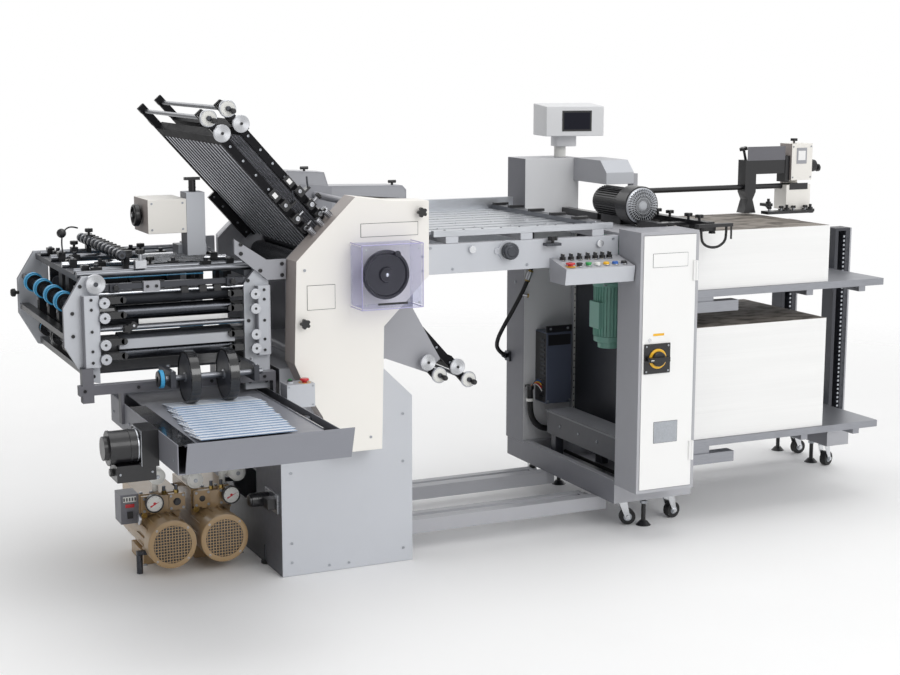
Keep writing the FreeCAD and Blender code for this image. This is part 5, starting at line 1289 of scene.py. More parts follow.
@dataclass
class CrossUnit:
    """Cross-fold unit with its plates, adjusters, bars, belts and comb."""

    near: float = -325
    levels: tuple[float, ...] = (817, 777, 706, 667.5)
    adjusters: Pair = (-684, -273)
    tie_top: float = 878
    inner_x: float = -716
    bars: tuple[Pair, ...] = ((-210, 8), (-60, 8), (90, 10), (238, 8))

    def build(self) -> None:
        """Dresses the CAD nodes and adds the fittings."""
        # The plates' left faces take the shaded grey: painted shade.
        Form(WHITE_GREY, "cross_side_plates").regions(
            ((-1000, 0, -400, -326, 845, 970), MID_GREY),
            ((-420, -320, -200, 0, 900, 1090), WHITE_GREY)).facing(LEFT, SHADE_GREY, limit=0.4).dress(1)
        # The near beam's front takes its own mid grey, and its top a lighter grey as painted light.
        Form(BLACK, "cross_fittings").regions(
            ((-800, -200, -330, 330, 600, 616), DARK), ((-760, -200, -330, 330, 862, 880), DARK),
            ((-640, -220, -680, -620, 490, 540), OILED), ((-760, -210, -460, -320, 490, 650), DARK)).facing(
            NEAR, BEAM_GREY, (-760, -210, -353, -350, 560, 620)).facing(
            Z, MID_GREY, (-760, -210, -353, -320, 560, 620)).dress(0.6)
        Form(BAR, "bright_rods_and_discs").regions(
            ((-720, 400, -360, -320, 500, 1300), STEEL), ((-540, -320, -80, -40, 870, 910), STEEL_X),
            ((860, 920, 200, 260, 900, 925), BRASS), ((830, 880, 340, 390, 415, 460), OILED)).dress(1)
        for number in range(1, 5):
            Form(ROLLER if number % 2 else OILED, f"cross_roller_{number}").dress()
        self.adjuster_caps()
        self.frame_screws()
        self.front_bars()
        self.belts()
        self.inner_works()
        self.clamps()

    def adjuster_caps(self) -> None:
        """Knurled rims, slotted faces and lock nuts of the pressure adjusters."""
        near = self.near
        form = Form(STEEL_Y)
        for x, level in product(self.adjusters, self.levels):
            form.use(STEEL_Y).drums(around((x, near - 33.6, level), 13.8, 16), Y, 1.1, 9, 5)
            form.use(OILED).nuts([(x, near - 24, level)], Y, 9, 6)
            form.use(BLACK).drum((x, near - 34.4, level), Y, 4, 0.6, 6)
        form.piece("adjuster_caps", slot="bright_steel")
        face = Form(Spun("turned_adjuster_face", "d2d4d8", 0.22, centre=(-703, 0, 866)))
        face.knob((-703, near - 22, 866), NEAR, [(25, 0), (25, 0.8), (24, 1.6)], 48)
        face.use(OILED).drum((-703, near - 25.6, 866), Y, 6, 2, 20)
        face.piece("vertical_adjuster_face", slot="bright_steel")

    def frame_screws(self) -> None:
        """Screws of the frame plates, blocks and brackets, and the knob of the far side."""
        near = self.near
        form = Form(BLACK)
        plates = ((-762, 790), (-762, 730), (-740, 860), (-712, 620), (-284, 850), (-284, 620), (-284, 570),
                  (-238, 860), (-236, 570), (-284, 740))
        brackets = ((-306, 951), (-306, 926), (-252, 877), (-190, 893), (-190, 862))
        form.screws([(x, near, z) for x, z in plates], NEAR, 5, 3.5)
        form.screws(product((-717, -246), (near - 23,), (660, 690, 742, 800, 826)), NEAR, 4, 3)
        form.screws([(x, near - 12, z) for x, z in brackets], NEAR, 5.5, 4)
        form.use(RUBBER).knob((-786, 289, 768), LEFT, [(5, 0), (5, 8), (12, 12), (12, 20), (9, 24)], 28)
        form.piece("cross_frame_screws", slot="black_paint", edge=0.4)

    def front_bars(self) -> None:
        """Bars, blocks, strips and tongues between the near frame plates."""
        near = self.near
        form = Form(STEEL_X).drum((-694, near + 6, 836), X, 4, 398, 16)
        form.use(BAR).drum((-694, near + 4, 742), X, 6, 398, 16).drum((-694, -288, 741), X, 5, 398, 16)
        form.use(DARK).block(-694, -296, near + 2, near + 12, 846, 860)
        form.use(MID_GREY).block(-572, -528, near - 5, near + 12, 838, 864)
        form.use(BLACK).screws(product((-562, -538), (near - 5,), (851,)), NEAR, 4.4, 3)
        for x in (-648, -330):
            form.use(DARK).plate((x, 852), (14, 10), near - 6, near + 14)
            form.use(BLACK_PLASTIC).star((x, near - 6, 852), NEAR, 9, 6)
        form.use(BLACK)
        for x in (-470, -420, -380):
            form.block(x, x + 20, near - 4, near + 14, 828, 845)
        form.use(GLOSS_BLACK)
        for (x, tip), level in product(((-648, -626), (-309, -331)), self.levels):
            form.plate((x, level), (22, 9), near + 3, near + 14).drum((tip, near + 3, level), Y, 9, 11, 20)
        form.use(WHITE).block(-629, -359, -262, -258, 768, 781).block(-582, -336, -304, -300, 748, 761)
        form.use(BELT).block(-652, -300, -308, -304, 733, 737)
        form.use(BLACK_PLASTIC).star((-620, near + 2, 742), NEAR, 14, 8)
        form.use(BLACK).drum((-604, near + 2, 750), NEAR, 10, 16, 24)
        form.use(STEEL).drum((-604, near - 14, 750), NEAR, 3.4, 2, 12)
        form.piece("cross_front_bars", slot="bright_steel", edge=0.4)

    def belts(self) -> None:
        """Carrying tapes over the rollers and the drive belts at the outer end."""
        form = Form(BELT)
        for y in (-170, -20, 120, 220):
            form.block(-676, -318, y - 7, y + 7, 836, 837.6)
        for y in (-239, -109, 31, 171):
            form.use(BELT).ring((-765, y - 10, 812), Y, 27.5, 24, 16)
            form.use(OILED).ring((-765, y - 24.5, 812), Y, 15, 8, 3, 28)
            form.use(BELT).ring((-765, y - 22, 812), Y, 24.6, 23, 6)
        form.piece("cross_belts", slot="rubber")

    def inner_works(self) -> None:
        """Dark pulleys, shafts and blocks that fill the outer end of the unit."""
        x, pulley = self.inner_x, [(23, 0), (23, 4), (19, 6), (19, 26), (23, 28), (23, 32)]
        form = Form(GLOSS_BLACK)
        for z, radius, spots in ((770, 8, 6), (716, 8, 5), (664, 7, 4)):
            form.use(OILED).drum((x, -300, z), Y, radius, 600, 16)
            for step in range(spots):
                y = -250 + step * 500 / (spots - 1)
                form.use(GLOSS_BLACK).knob((x, y - 16, z), Y, pulley, 24)
                form.use(BELT if step % 2 else RUBBER).ring((x, y - 8, z), Y, 20.2, 18, 16, 24)
        for y in (-180, -70, 60, 200):
            form.use(BLACK).block(-748, -728, y - 16, y + 16, 690, 790)
            form.use(STEEL).screw((-748, y, 760), LEFT, 5, 3)
            form.use(BLACK).star((-748, y, 716), LEFT, 13, 6)
        form.use(GLOSS_BLACK).block(-692, -298, 297, 309, 636, 856)
        spots = [(-670 + 58 * step, 297, 790 - 60 * (step % 2)) for step in range(7)]
        form.use(DARK).drums(spots, NEAR, 20, 14, 24)
        form.piece("cross_inner_works", slot="black_paint", edge=0.3)

    def clamps(self) -> None:
        """Comb row, clamps, knobs and the vertical adjuster on the bars above the unit."""
        top = self.tie_top
        form = Form(BLACK)
        for y in range(236, -280, -43):
            form.use(OILED).knob((-608, y - 14, 926), Y, [(10, 0), (14, 3), (14, 20), (10, 24)], 24)
            form.use(BLACK).drum((-608, y - 15, 926), Y, 5, 1.4, 12).post((-590, y), (12, 5), 922, 938)
        for (y, radius), x in product(self.bars, (-700, -300)):
            form.use(BLACK).post((x, y), (10, radius + 5), top + 0.4, top + 2 * radius + 7)
            form.use(STEEL).screw((x, y, top + 2 * radius + 7), Z, 5, 4)
        for x, y, z in ((-606, 150, 944), (-650, 150, 910), (-520, -200, 896), (-470, 96, 900)):
            form.use(BLACK).post((x, y), (10, 10), z - 14, z).use(BLACK_PLASTIC).star((x, y, z), Z, 12, 8)
        form.use(STEEL).block(-588, -558, -312, -290, 897, 918).drum((-572, -301, 918), Z, 5, 18, 16)
        form.use(BLACK_PLASTIC).star((-572, -301, 930), Z, 13, 6)
        for x, y in ((-690, 180), (-668, 60), (-700, -40), (-640, -130), (-676, -240), (-480, 170),
                     (-420, 60), (-560, 20), (-450, -180), (-370, -220)):
            form.use(BLACK).post((x, y), (14, 9), top, top + 20)
            form.use(OILED).drum((x, y, top + 20), Z, 6, 8, 16)
        form.use(BLACK).pipe([(-700, 60, 900), (-705, 80, 950), (-690, 100, 985), (-640, 140, 965)], 2.4)
        form.knob((-706, 56, 962), NEAR, [(9, 2), (13, 8), (13, 14), (9, 20)], 28, 22)
        form.piece("bar_clamps", slot="black_plastic", edge=0.5)


@dataclass
class GateDrive:
    """Cream gearbox on its post, with the handwheel on its left face."""

    wheel: Point = (-515, -75, 1016)
    post: Pair = (-374, -120)

    def build(self) -> None:
        """Dresses the box, the wheel and the post's head."""
        # The box's left faces take the darker cream: painted shade.
        Form(CREAM, "gate_drive_box").facing(LEFT, SHADED_CREAM).dress(3)
        x, y, z = self.wheel
        form = Form(BLACK_PLASTIC)
        form.knob((x, y, z), LEFT, [(28, 0), (31, 3), (31, 14), (28, 17), (24, 17), (21, 12), (10, 11),
                                    (9, 18), (7, 20)], 40)
        form.drum((x - 1, y, z), X, 9, 20)
        form.use(CHROME).drum((x - 20, y, z), LEFT, 4, 0.6, 16)
        form.dress(0, "gate_handwheel")
        extra = Form(ZINC).screws(product((-498, -411), (-150,), (980, 1052)), NEAR, 3, 1.6)
        extra.use(BLACK).screws(product((-371,), (-100,), (915, 922)), NEAR, 3, 2)
        extra.use(STEEL).block(-401, -393, -138, -104, 990, 1012).block(-401, -393, -138, -104, 1034, 1052)
        extra.drum((*self.post, 1074), Z, 6, 10, 20)
        extra.use(BLACK).ring((*self.post, 1090), Z, 10.6, 9.8, 3)
        extra.piece("gate_fittings", slot="bright_steel", edge=0.3)


@dataclass
class Delivery:
    """Press shaft, delivery table with its sheets, motor and stop box."""

    shaft: Pair = (-425, 618)
    shaft_end: float = -568
    discs: Pair = (-482, -377)
    disc_radius: float = 70
    level: float = 540
    sides: Pair = (-640, -226)
    motor: Pair = (-650, 502)
    flange: float = 46
    barrel: float = 42
    stop_box: Pair = (-207.5, -438)

    def build(self) -> None:
        """Dresses the nodes and adds belts, collars, screws and the motor's rings."""
        # The table's left faces take the shaded grey: painted shade.
        Form(TRAY_GREY, "delivery_table").facing(LEFT, SHADE_GREY, limit=0.6).facing(
            X, GLOSS_BLACK, (-640, -600, -900, -200, 480, 552), 0.6).dress(0.6)
        Form(FOLDED, "folded_sheets").facing(NEAR, FOLDED_EDGE).dress(0.3)
        self.press_shaft()
        self.motor_details()
        self.buttons()
        self.fittings()

    def press_shaft(self) -> None:
        """Shaft with ribbed press discs, collars, a pulley and its belt."""
        (y, z), rim, end = self.shaft, self.disc_radius, self.shaft_end
        form = Form(BAR).drum((end, y, z), X, 8, 286)
        for x in self.discs:
            form.use(DARK).knob((x - 11, y, z), X, [(rim - 3, 0), (rim - 3, 22)], 72)
            form.use(GLOSS_BLACK).lathe((x - 13, y, z), X, [(rim - 6, 0), (rim - 1, 0), (rim, 1), (rim, 25),
                                                            (rim - 1, 26), (rim - 6, 26)], 72, closed=True)
            form.use(STEEL).knob((x + 13, y, z), X, [(15, 0), (15, 13), (14, 14)], 32)
            form.knob((x - 7, y, z), LEFT, [(13, 0), (13, 6)], 32)
            form.use(BLACK).screw((x + 20, y, z + 15), Z, 2.6, 1.2)
        form.knob((end, y, z), X, [(21, 0), (21, 2), (18, 3), (18, 15), (21, 16), (21, 18)])
        form.use(BELT).ring((end + 4, y, z), X, 24, 17.8, 10)
        form.dress(0.3, "press_shaft")

    def fittings(self) -> None:
        """Table rail and belt, screws of the table and of the bar over it, nuts of the shaft's hangers."""
        (y, _), level, (left, right) = self.shaft, self.level, self.sides
        form = Form(STEEL_Y).block(-262, -258, -830, -230, level, level + 3)
        form.use(GLOSS_BLACK).block(-637, -590, -860, -380, level + 0.2, level + 1.4).use(ZINC)
        for at in (-830, -620, -400, -230):
            form.screw((left, at, 500), LEFT, 4, 2.4).screw((right, at, 500), X, 4, 2.4)
        form.use(BLACK).screws(product((-742, -600, -480, -400, -250), (-352,), (587,)), NEAR, 4.6, 3.2)
        form.use(STEEL)
        for x in (-531, -303):
            form.nuts([(x, y + 24, 646)], Z, 5, 4).screw((x, y - 12, 638), Z, 4, 3)
        form.piece("delivery_fittings", slot="bright_steel", edge=0.3)

    def motor_details(self) -> None:
        """Black gear motor with end bell, flanges, terminal box and gland."""
        Form(BLACK, "delivery_motor").facing(X, ALUMINIUM).dress(2)
        (y, z), rim, half = self.motor, self.barrel, self.flange - 2
        form = Form(BLACK)
        for x in (-758, -708):
            form.ring((x, y, z), X, rim + 1.8, rim - 1, 5, 40)
        form.use(ALUMINIUM).ring((-690, y, z), X, rim + 2, rim - 1, 3, 40)
        form.block(-684, -682.2, y - half, y + half, z - half, z + half)
        form.use(BLACK).screws([(-684, y + a, z + b) for b, a in product((-37, 37), repeat=2)], LEFT, 4, 3)
        form.use(ZINC).screws([(-736, y - 38, z - 61), (-656, y - 38, z - 61)], NEAR, 3, 1.6)
        form.use(BLACK_PLASTIC).drum((-744, y, z - 62), LEFT, 10, 10, 6)
        form.piece("motor_details", slot="black_paint", edge=0.3)

    def buttons(self) -> None:
        """Mushroom stop button, and the small buttons and marks of the stop box."""
        box = Form(BLACK_PLASTIC).knob((*self.stop_box, 584.6), Z, [(8, 0), (8, 3), (5, 4.6)], 28)
        box.use(GREEN).knob((*self.stop_box, 588.6), Z, [(5, 0), (5, 2.4)], 28, 2.8)
        box.use(YELLOW).ring((-168, -444, 580), Z, 16.4, 13.8, 1, 32)
        box.use(DARK).block(-146, -138.4, -440, -412, 546, 572)
        box.use(ZINC).screws(product((-220, -152), (-466,), (522, 574)), NEAR, 2.8, 1.4)
        box.piece("stop_box_details", slot="black_plastic", edge=0.2)
        low, (x, y, _), high = span("delivery_stop_button")
        form = Form(RED).drum((x, y, low.z), Z, 7, high.z - low.z - 6, 24)
        form.knob((x, y, high.z - 8), Z, [(9, 0), (12.6, 1.6), (13, 4), (11, 7), (5, 8)])
        form.dress(0, "delivery_stop_button")


@dataclass
class Pumps:
    """Two vacuum pumps with their perforated cowls, gauges and filters."""

    places: Pair = (-480, -328)
    height: float = 97
    near: float = -200
    radius: float = 70
    pitch: float = 8.4
    web: float = 1.5
    gauge_level: float = 196
    heads: tuple[float, ...] = (-512, -434, -359, -285)

    def build(self) -> None:
        """Dresses the castings and the fittings, and adds the cowls."""
        Form(TAN, "pump_bodies").dress(3)
        Form(ZINC, "pump_fittings").regions(
            ((-600, -500, -100, 20, 100, 220), SHADE_GREY), ((-600, -200, -140, -60, 170, 222), BLACK),
            ((-600, -200, -80, 0, 200, 300), PALE_PLASTIC), ((-600, -500, -140, -100, 0, 80), OILED),
            ((-560, -180, 110, 130, 170, 190), OILED), ((980, 1010, 140, 240, 180, 225), DARK),
            ((865, 900, 215, 260, 340, 360), BLACK)).dress(1.2)
        for x, side in zip(self.places, ("left", "right")):
            self.cowl(x, side)
        self.gauges()
        self.head_plates()
        self.ribs()

    def cowl(self, x: float, side: str) -> None:
        """Fan cowl with a square grid of holes in its face.

        Args:
            x: Place of the pump.
            side: Which pump it is.
        """
        near, height, radius = self.near, self.height, self.radius
        reach = radius - 7
        count = int(reach // self.pitch) + 1
        part = bmesh.new()
        bmesh.ops.create_grid(part, x_segments=2 * count, y_segments=2 * count, size=count * self.pitch)
        outside = [f for f in part.faces if max(v.co.length for v in f.verts) > reach]
        bmesh.ops.delete(part, geom=outside, context="FACES")
        kept = set(bmesh.ops.inset_individual(part, faces=part.faces[:], thickness=self.web)["faces"])
        bmesh.ops.delete(part, geom=[f for f in part.faces if f not in kept], context="FACES")
        grow(part, part.faces[:], (0, 0, 1.2))
        form = Form(TAN).take(part, along((x, near - 1.4, height), NEAR))
        # A thin black disc just behind the holes: painted shade of the cowl's inside.
        form.use(GLOSS_BLACK).drum((x, near - 0.4, height), NEAR, reach - 1, 0.5, 48)
        form.use(TAN).lathe((x, near, height), NEAR, [(reach - 8, 0), (radius - 0.5, 0), (radius - 1, 3),
                                                      (radius - 5, 4.6), (reach - 8, 3.6)], 72, closed=True)
        form.use(ZINC).screws(around((x, near - 3.6, height), 63, 4, first=0.5), NEAR, 3.4, 1.6)
        form.piece(f"pump_cowl_{side}", slot="tan_paint")

    def gauges(self) -> None:
        """White dials with tick marks and a red needle, the switch box's details and the filters' lids."""
        form, z = Form(PALE_PLASTIC), self.gauge_level
        for x in (-505, -278):
            form.use(PALE_PLASTIC).drum((x, -112, z), NEAR, 24, 0.8, 40)
            form.use(BLACK).ring((x, -111.8, z), NEAR, 27, 23, 3, 40)
            for step in range(10):
                turn = math.radians(-135 + 30 * step)
                form.drum((x + 19.5 * math.sin(turn), -112.8, z + 19.5 * math.cos(turn)), NEAR, 0.9, 0.4, 5)
            form.use(RED).prism([(x - 14, z - 7), (x + 16, z + 5), (x - 11, z - 11)], -113.6, -113)
            form.drum((x, -112.8, z), NEAR, 4, 1.4, 16)
        form.block(-577, -551, -61.4, -60, 178, 188)
        form.use(PALE_PLASTIC).block(-583, -545, -61, -60, 194, 210).use(DARK)
        for x in range(-582, -549, 8):
            form.block(x, x + 4, -61.6, -61, 197, 207)
        form.use(BLACK_PLASTIC).block(-572, -556, -64, -60, 146, 166)
        for x, z in ((-485, 264), (-374, 241), (-246, 249)):
            form.use(PALE_PLASTIC).knob((x, -75, z), NEAR, [(20, 0), (20, 3), (16, 5)])
            form.use(ZINC).nuts([(x, -80, z)], NEAR, 5, 3)
        form.piece("pump_gauges", slot="grey_paint", edge=0.2)

    def head_plates(self) -> None:
        """Square head plates, the bolts, the oil disc and the hose ends above the barrels."""
        form = Form(TAN)
        for number, x in enumerate(self.heads):
            form.use(TAN).plate((x, 189), (24, 24), -92, -76)
            form.use(ZINC).screws(product((x - 18, x + 18), (-92,), (171, 207)), NEAR, 4, 3)
            if number == 2:
                form.use(GLOSS_BLACK).drum((x, -92, 189), NEAR, 9, 0.6, 24)
            elif number == 1:
                form.use(BLACK).nuts([(x, -92, 189)], NEAR, 9, 6)
        for x in (-470, -330, -434, -300):
            form.use(BRASS).drum((x, -84, 213), Z, 7, 10, 6).use(OILED).drum((x, -84, 223), Z, 5, 14, 16)
        for x in (-530, -378):
            form.use(BLACK).drum((x, -90, 158), Y, 6, 60, 16).use(BRASS).nuts([(x, -90, 158)], NEAR, 7, 5)
        form.use(STEEL).knob((-545, -100, 152), LEFT, [(17, 0), (17, 4), (12, 6)])
        form.use(ZINC).nuts([(-546, -150, 30), (-262, -150, 30)], Z, 5, 4)
        form.piece("pump_heads", slot="tan_paint", edge=0.8)

    def ribs(self) -> None:
        """Cooling ribs round the barrels, head bolts and hose ends."""
        form = Form(TAN)
        for x in self.places:
            for step in range(12):
                turn = math.radians(-38 + 23.4 * step)
                foot = (x + 62 * math.cos(turn), -150, self.height + 62 * math.sin(turn))
                form.placing = turned(foot, -turn, "Y")
                form.block(0, 6, 0, 90, -1.4, 1.4)
            form.placing = Matrix.Identity(4)
            form.use(ZINC).nuts([(x + a, -56, self.height + 118) for a in (-50, -20, 20, 50)], Z, 5, 4)
            form.use(TAN)
            for z in (150, 172, 194):
                form.block(x - 61, x + 61, -73, -70, z, z + 6)
        form.piece("pump_ribs", slot="tan_paint", edge=0.6)


@dataclass
class RegisterTable:
    """Table between feeder and fold unit, with its side knob."""

    near: float = -349
    knob: Pair = (495, 897)

    def build(self) -> None:
        """Dresses the frames, slats and knob."""
        # The frames' near faces take the lighter grey: painted light.
        Form(FRAME_GREY, "table_frames").facing(NEAR, WHITE_GREY).dress(1.6)
        Form(ALUMINIUM, "table_slats").regions(
            ((770, 800, -400, 400, 950, 970), BAR), ((440, 550, -360, -340, 860, 930), WHITE_GREY),
            ((360, 420, -362, -345, 890, 920), CHROME), ((780, 820, -362, -345, 890, 920), CHROME)).dress()
        near, (x, z) = self.near, self.knob
        form = Form(OILED)
        form.knob((x, near - 8, z), NEAR, [(21, 0), (24, 2), (24, 20), (22, 23), (16, 23.6), (14, 26)], 40)
        form.drum((x, near, z), NEAR, 9, 9, 24)
        form.drums(around((x, near - 28, z), 23.9, 28), Y, 0.9, 17, 5)
        form.dress(0, "table_side_knob")
        extra = Form(ZINC)
        spots = ((250, 915), (320, 852), (560, 852), (740, 852), (850, 915))
        extra.screws([(x, near, z) for x, z in spots], NEAR, 4, 2.4)
        extra.use(OILED).screws(product(range(300, 840, 60), (near + 12,), (963,)), Z, 3.4, 1.2).use(STEEL)
        for start in product((330, 450, 570, 690), (-228, -98, 32, 162), (955,)):
            extra.drum(start, Z, 7, 3, 16, 5)
        extra.use(BLACK)
        for y in (-260, -120, 20, 160, 270):
            extra.post((786, y), (26, 8), 969, 977)
        extra.piece("table_details", slot="bright_steel", edge=0.3)


class Lens(Enum):
    """What stands in a place of the control box's lower row."""

    STOP = "stop"
    OFF = "off"
    ON = "on"
    WHITE = "white"
    YELLOW = "yellow"
    BLUE = "blue"
    DARK = "dark"


@dataclass
class ControlDesk:
    """Operator's box with its knobs, lamps and buttons."""

    near: float = -452
    back: float = -349
    front_top: float = 845
    back_top: float = 868
    lower: tuple[float, ...] = (660, 690, 720, 750, 780, 810, 840)
    upper: tuple[float, ...] = (664, 692, 720, 748, 774, 798, 822)

    def level(self, y: float) -> float:
        """Height of the sloping top at a depth."""
        return self.front_top + (self.back_top - self.front_top) * (y - self.near) / (self.back - self.near)

    def build(self) -> None:
        """Dresses the box and its fittings."""
        # Painted light and shade: the near faces take the lighter grey, the left faces a darker grey.
        Form(FRAME_GREY, "control_box").facing(NEAR, WHITE_GREY).facing(LEFT, MID_GREY).dress(1.4)
        Form(BLACK_PLASTIC, "fixed_knobs").regions(((600, 670, -380, -345, 900, 915), OILED)).dress(0.6)
        near, back = self.near, self.back
        y, level = near + 22, self.level(near + 22)
        colours = {Lens.WHITE: PALE_PLASTIC, Lens.YELLOW: YELLOW, Lens.BLUE: BLUE, Lens.DARK: BLACK_PLASTIC}
        form = Form(CHROME)
        for x, lens in zip(self.lower, Lens):
            finish, outer = (YELLOW, 15) if lens is Lens.STOP else (CHROME, 11)
            form.use(finish).ring((x, y, level - 0.6), Z, outer, 8.4, 2.2, 28)
            if lens in colours:
                form.use(colours[lens]).knob((x, y, level + 1), Z, [(9.2, 0), (9.2, 6), (7, 8.2)], 28, 9)
        y, level = back - 26, self.level(back - 26)
        for x in self.upper:
            form.use(CHROME).ring((x, y, level - 0.6), Z, 11.4, 9, 2, 28)
            form.use(PALE_PLASTIC).block(x - 0.9, x + 0.9, y - 8.4, y, level + 18.6, level + 19.6)
        level = self.level(near + 41)
        for x in self.lower[1:]:
            form.block(x - 9, x + 9, near + 38, near + 45, level - 0.6, level + 0.9)
        form.use(ZINC).screws(product((642, 858), (back - 8,), (self.level(back - 8) - 0.4,)), Z, 3.4, 1.8)
        form.piece("control_desk_fittings", slot="black_plastic", edge=0.2)
        self.button("estop_button", RED, 14)
        self.button("stop_button", BLACK_PLASTIC)
        self.button("start_button", GREEN)

    def button(self, node: str, finish: Finish, radius: float = 9.5) -> None:
        """Push button with a rounded head.

        Args:
            node: CAD node that it stands for.
            finish: Finish of the head.
            radius: Radius of the head.
        """
        low, (x, y, _), high = span(node)
        form = Form(finish).drum((x, y, low.z), Z, 7.8, high.z - low.z - 5, 24)
        form.knob((x, y, high.z - 6), Z, [(radius - 1, 0), (radius, 1.2), (radius, 3.6), (radius - 1.6, 5.4),
                                          (radius * 0.5, 6)])
        form.dress(0, node)


@dataclass
class Feeder:
    """Base, casters, cabinets, drives and hood of the feeder."""

    near: float = -475
    isolator: Pair = (932, 566)
    lift_motor: Pair = (978, -120)
    fan: Point = (1030, -215, 996)
    monitor: Point = (1035, 320, 0)
    monitor_turn: float = -8.6
    valve: Point = (879, 239, 730.5)

    def build(self) -> None:
        """Dresses the nodes and adds their details."""
        # Painted shade: the base's top faces under the cabinets and its left faces take the shaded grey.
        Form(FRAME_GREY, "base_frame").facing(Z, SHADE_GREY, (860, 1160, -360, 380, 90, 112)).facing(
            LEFT, SHADE_GREY, limit=0.6).dress(1.6)
        Form(BLACK, "casters_and_feet").regions(
            ((0, 3000, -400, 400, 52, 60), CHROME), ((0, 3000, -400, 400, 20, 30), RUBBER)).dress(1)
        # The cabinet's near faces take a lighter grey: painted light.
        Form(MID_GREY, "control_cabinet").facing(NEAR, FRAME_GREY).dress(1.2)
        Form(WHITE, "cabinet_door").regions(((886, 978, -480.6, -476.1, 520, 612), BLACK),
                                            whole=False).dress()
        # Painted light and shade: the duct along the base is dark on its sides with the lighter grey kept on
        # its top, the left faces take the shaded grey, and the near faces of the hood and the cabinet take
        # lighter greys.
        Form(FRAME_GREY, "rear_cabinet").regions(
            ((910, 1012, 170, 260, 300, 546), BLUE_DARK), ((900, 1005, -345, 155, 100, 295), DARK),
            ((1000, 1060, 290, 350, 1110, 1200), PALE_PLASTIC),
            ((1056, 1059, -400, 300, 400, 700), DARK)).facing(
            LEFT, SHADE_GREY, (860, 880, 250, 390, 150, 1120), 0.6).facing(
            NEAR, WHITE_GREY, (860, 1160, 30, 240, 930, 1120), 0.6).facing(
            NEAR, SCREEN_GREY, (860, 1160, 250, 260, 90, 1120), 0.6).facing(
            Z, FRAME_GREY, (900, 1005, -345, 155, 286, 292)).dress(1.8)
        self.door()
        self.isolator_switch()
        self.inverter()
        self.casters()
        self.lift_drive()
        self.blower()
        self.display()

    def door(self) -> None:
        """Bare sign plates and the lock on the door."""
        form, near = Form(BLACK), self.near - 1
        for x0, x1, z0, z1, inside in ((912, 1034, 838, 880, WHITE), (926, 1010, 306, 372, ZINC)):
            form.use(DARK).block(x0, x1, near - 0.6, near, z0, z1)
            form.use(inside).block(x0 + 1, x1 - 1, near - 1, near, z0 + 1, z1 - 1)
        form.use(YELLOW).block(918, 956, near - 0.8, near, 634, 641)
        form.use(CHROME).knob((906, near, 622), NEAR, [(6, 0), (5, 2.4)], 28, 3)
        form.piece("door_fittings", "cabinet_door", "cream_paint", 0.2)

    def isolator_switch(self) -> None:
        """Yellow ring, turning grip and screws of the isolator."""
        (x, z), near = self.isolator, self.near
        form = Form(YELLOW).knob((x, near - 5.3, z), NEAR, [(30, 0), (30, 3.4), (27, 5.4)], 56)
        form.use(BLACK_PLASTIC).knob((x, near - 10.6, z), NEAR, [(23, 0), (22, 7), (19, 9)], 48)
        form.block(x - 38, x + 30, near - 30, near - 12, z - 7, z + 7).drum((x, near - 12, z), Y, 6, 19, 20)
        form.use(PALE_PLASTIC).block(x - 37, x - 26, near - 30.6, near - 29.8, z - 1.4, z + 1.4)
        form.dress(1, "isolator_knob")
        extra = Form(ZINC).screws(product((x - 38, x + 38), (near - 5,), (z - 38, z + 38)), NEAR, 3, 1.2)
        extra.piece("isolator_screws", "cabinet_door", "black_plastic")

    def inverter(self) -> None:
        """Terminals, flanges and wires of the inverter, and the strips, screws and hose ends beside it."""
        form = Form(BLACK).block(913.6, 914.8, 180, 252, 306, 540).use(OILED)
        for z in range(320, 528, 16):
            form.block(911, 913.6, 188, 214, z, z + 9)
        form.use(BLACK).block(920, 1005, 174.8, 176, 500, 536).block(914, 1011, 178, 184, 544, 566)
        form.use(ZINC).screws([(930, 178, 556), (995, 178, 556)], NEAR, 4.4, 2.4)
        form.screws([(921, 176, 310), (1004, 176, 310)], NEAR, 4, 2)
        form.use(BEAM_GREY).block(901, 905, -343, 150, 284, 290)
        form.use(ZINC).screws(product((905,), (-300, -180, -60, 60), (250,)), LEFT, 4, 2)
        form.screws(product((870,), (320,), (700, 760, 820)), LEFT, 5, 3)
        form.use(PALE_PLASTIC).block(1046, 1054, 229, 229.8, 180, 900)
        form.use(DARK).drums(product((1050,), (229.2,), range(200, 890, 23)), NEAR, 2.2, 0.6, 8)
        form.use(RUBBER).drum((892, -330, 118), Y, 8, 470, 16).drum((1020, -330, 118), Y, 6, 560, 16)
        form.use(PALE_PLASTIC).ring((884, 234, 304), Z, 12.8, 9.6, 10, 28)
        form.use(STEEL).ring((950, 222, 204), X, 12.8, 9.6, 7, 28)
        down, centre = Vector((-24, 6, -69)).normalized(), Vector(self.valve)
        form.drum(centre - down * 16, down, 8.6, 32, 20).use(BRASS)
        form.drums([centre - down * 20, centre + down * 14], down, 10, 6, 6)
        side = Vector((0.9, -0.3, -0.2))
        form.use(STEEL).drum((856, 249, 668), side, 5, 22, 16).use(BRASS).drum((874, 243, 664), side, 7, 6, 6)
        for number, finish in enumerate((PALE_PLASTIC, RED, YELLOW, BLUE, DARK)):
            form.use(finish).pipe([(882 + number, 234, 344), (886, 228 - 2.5 * number, 372),
                                   (902, 216 - 2 * number, 372 + 5 * number),
                                   (911, 200 + 2 * number, 342 + 10 * number)], 1.7)
        form.piece("inverter_details", slot="grey_paint", edge=0.2)

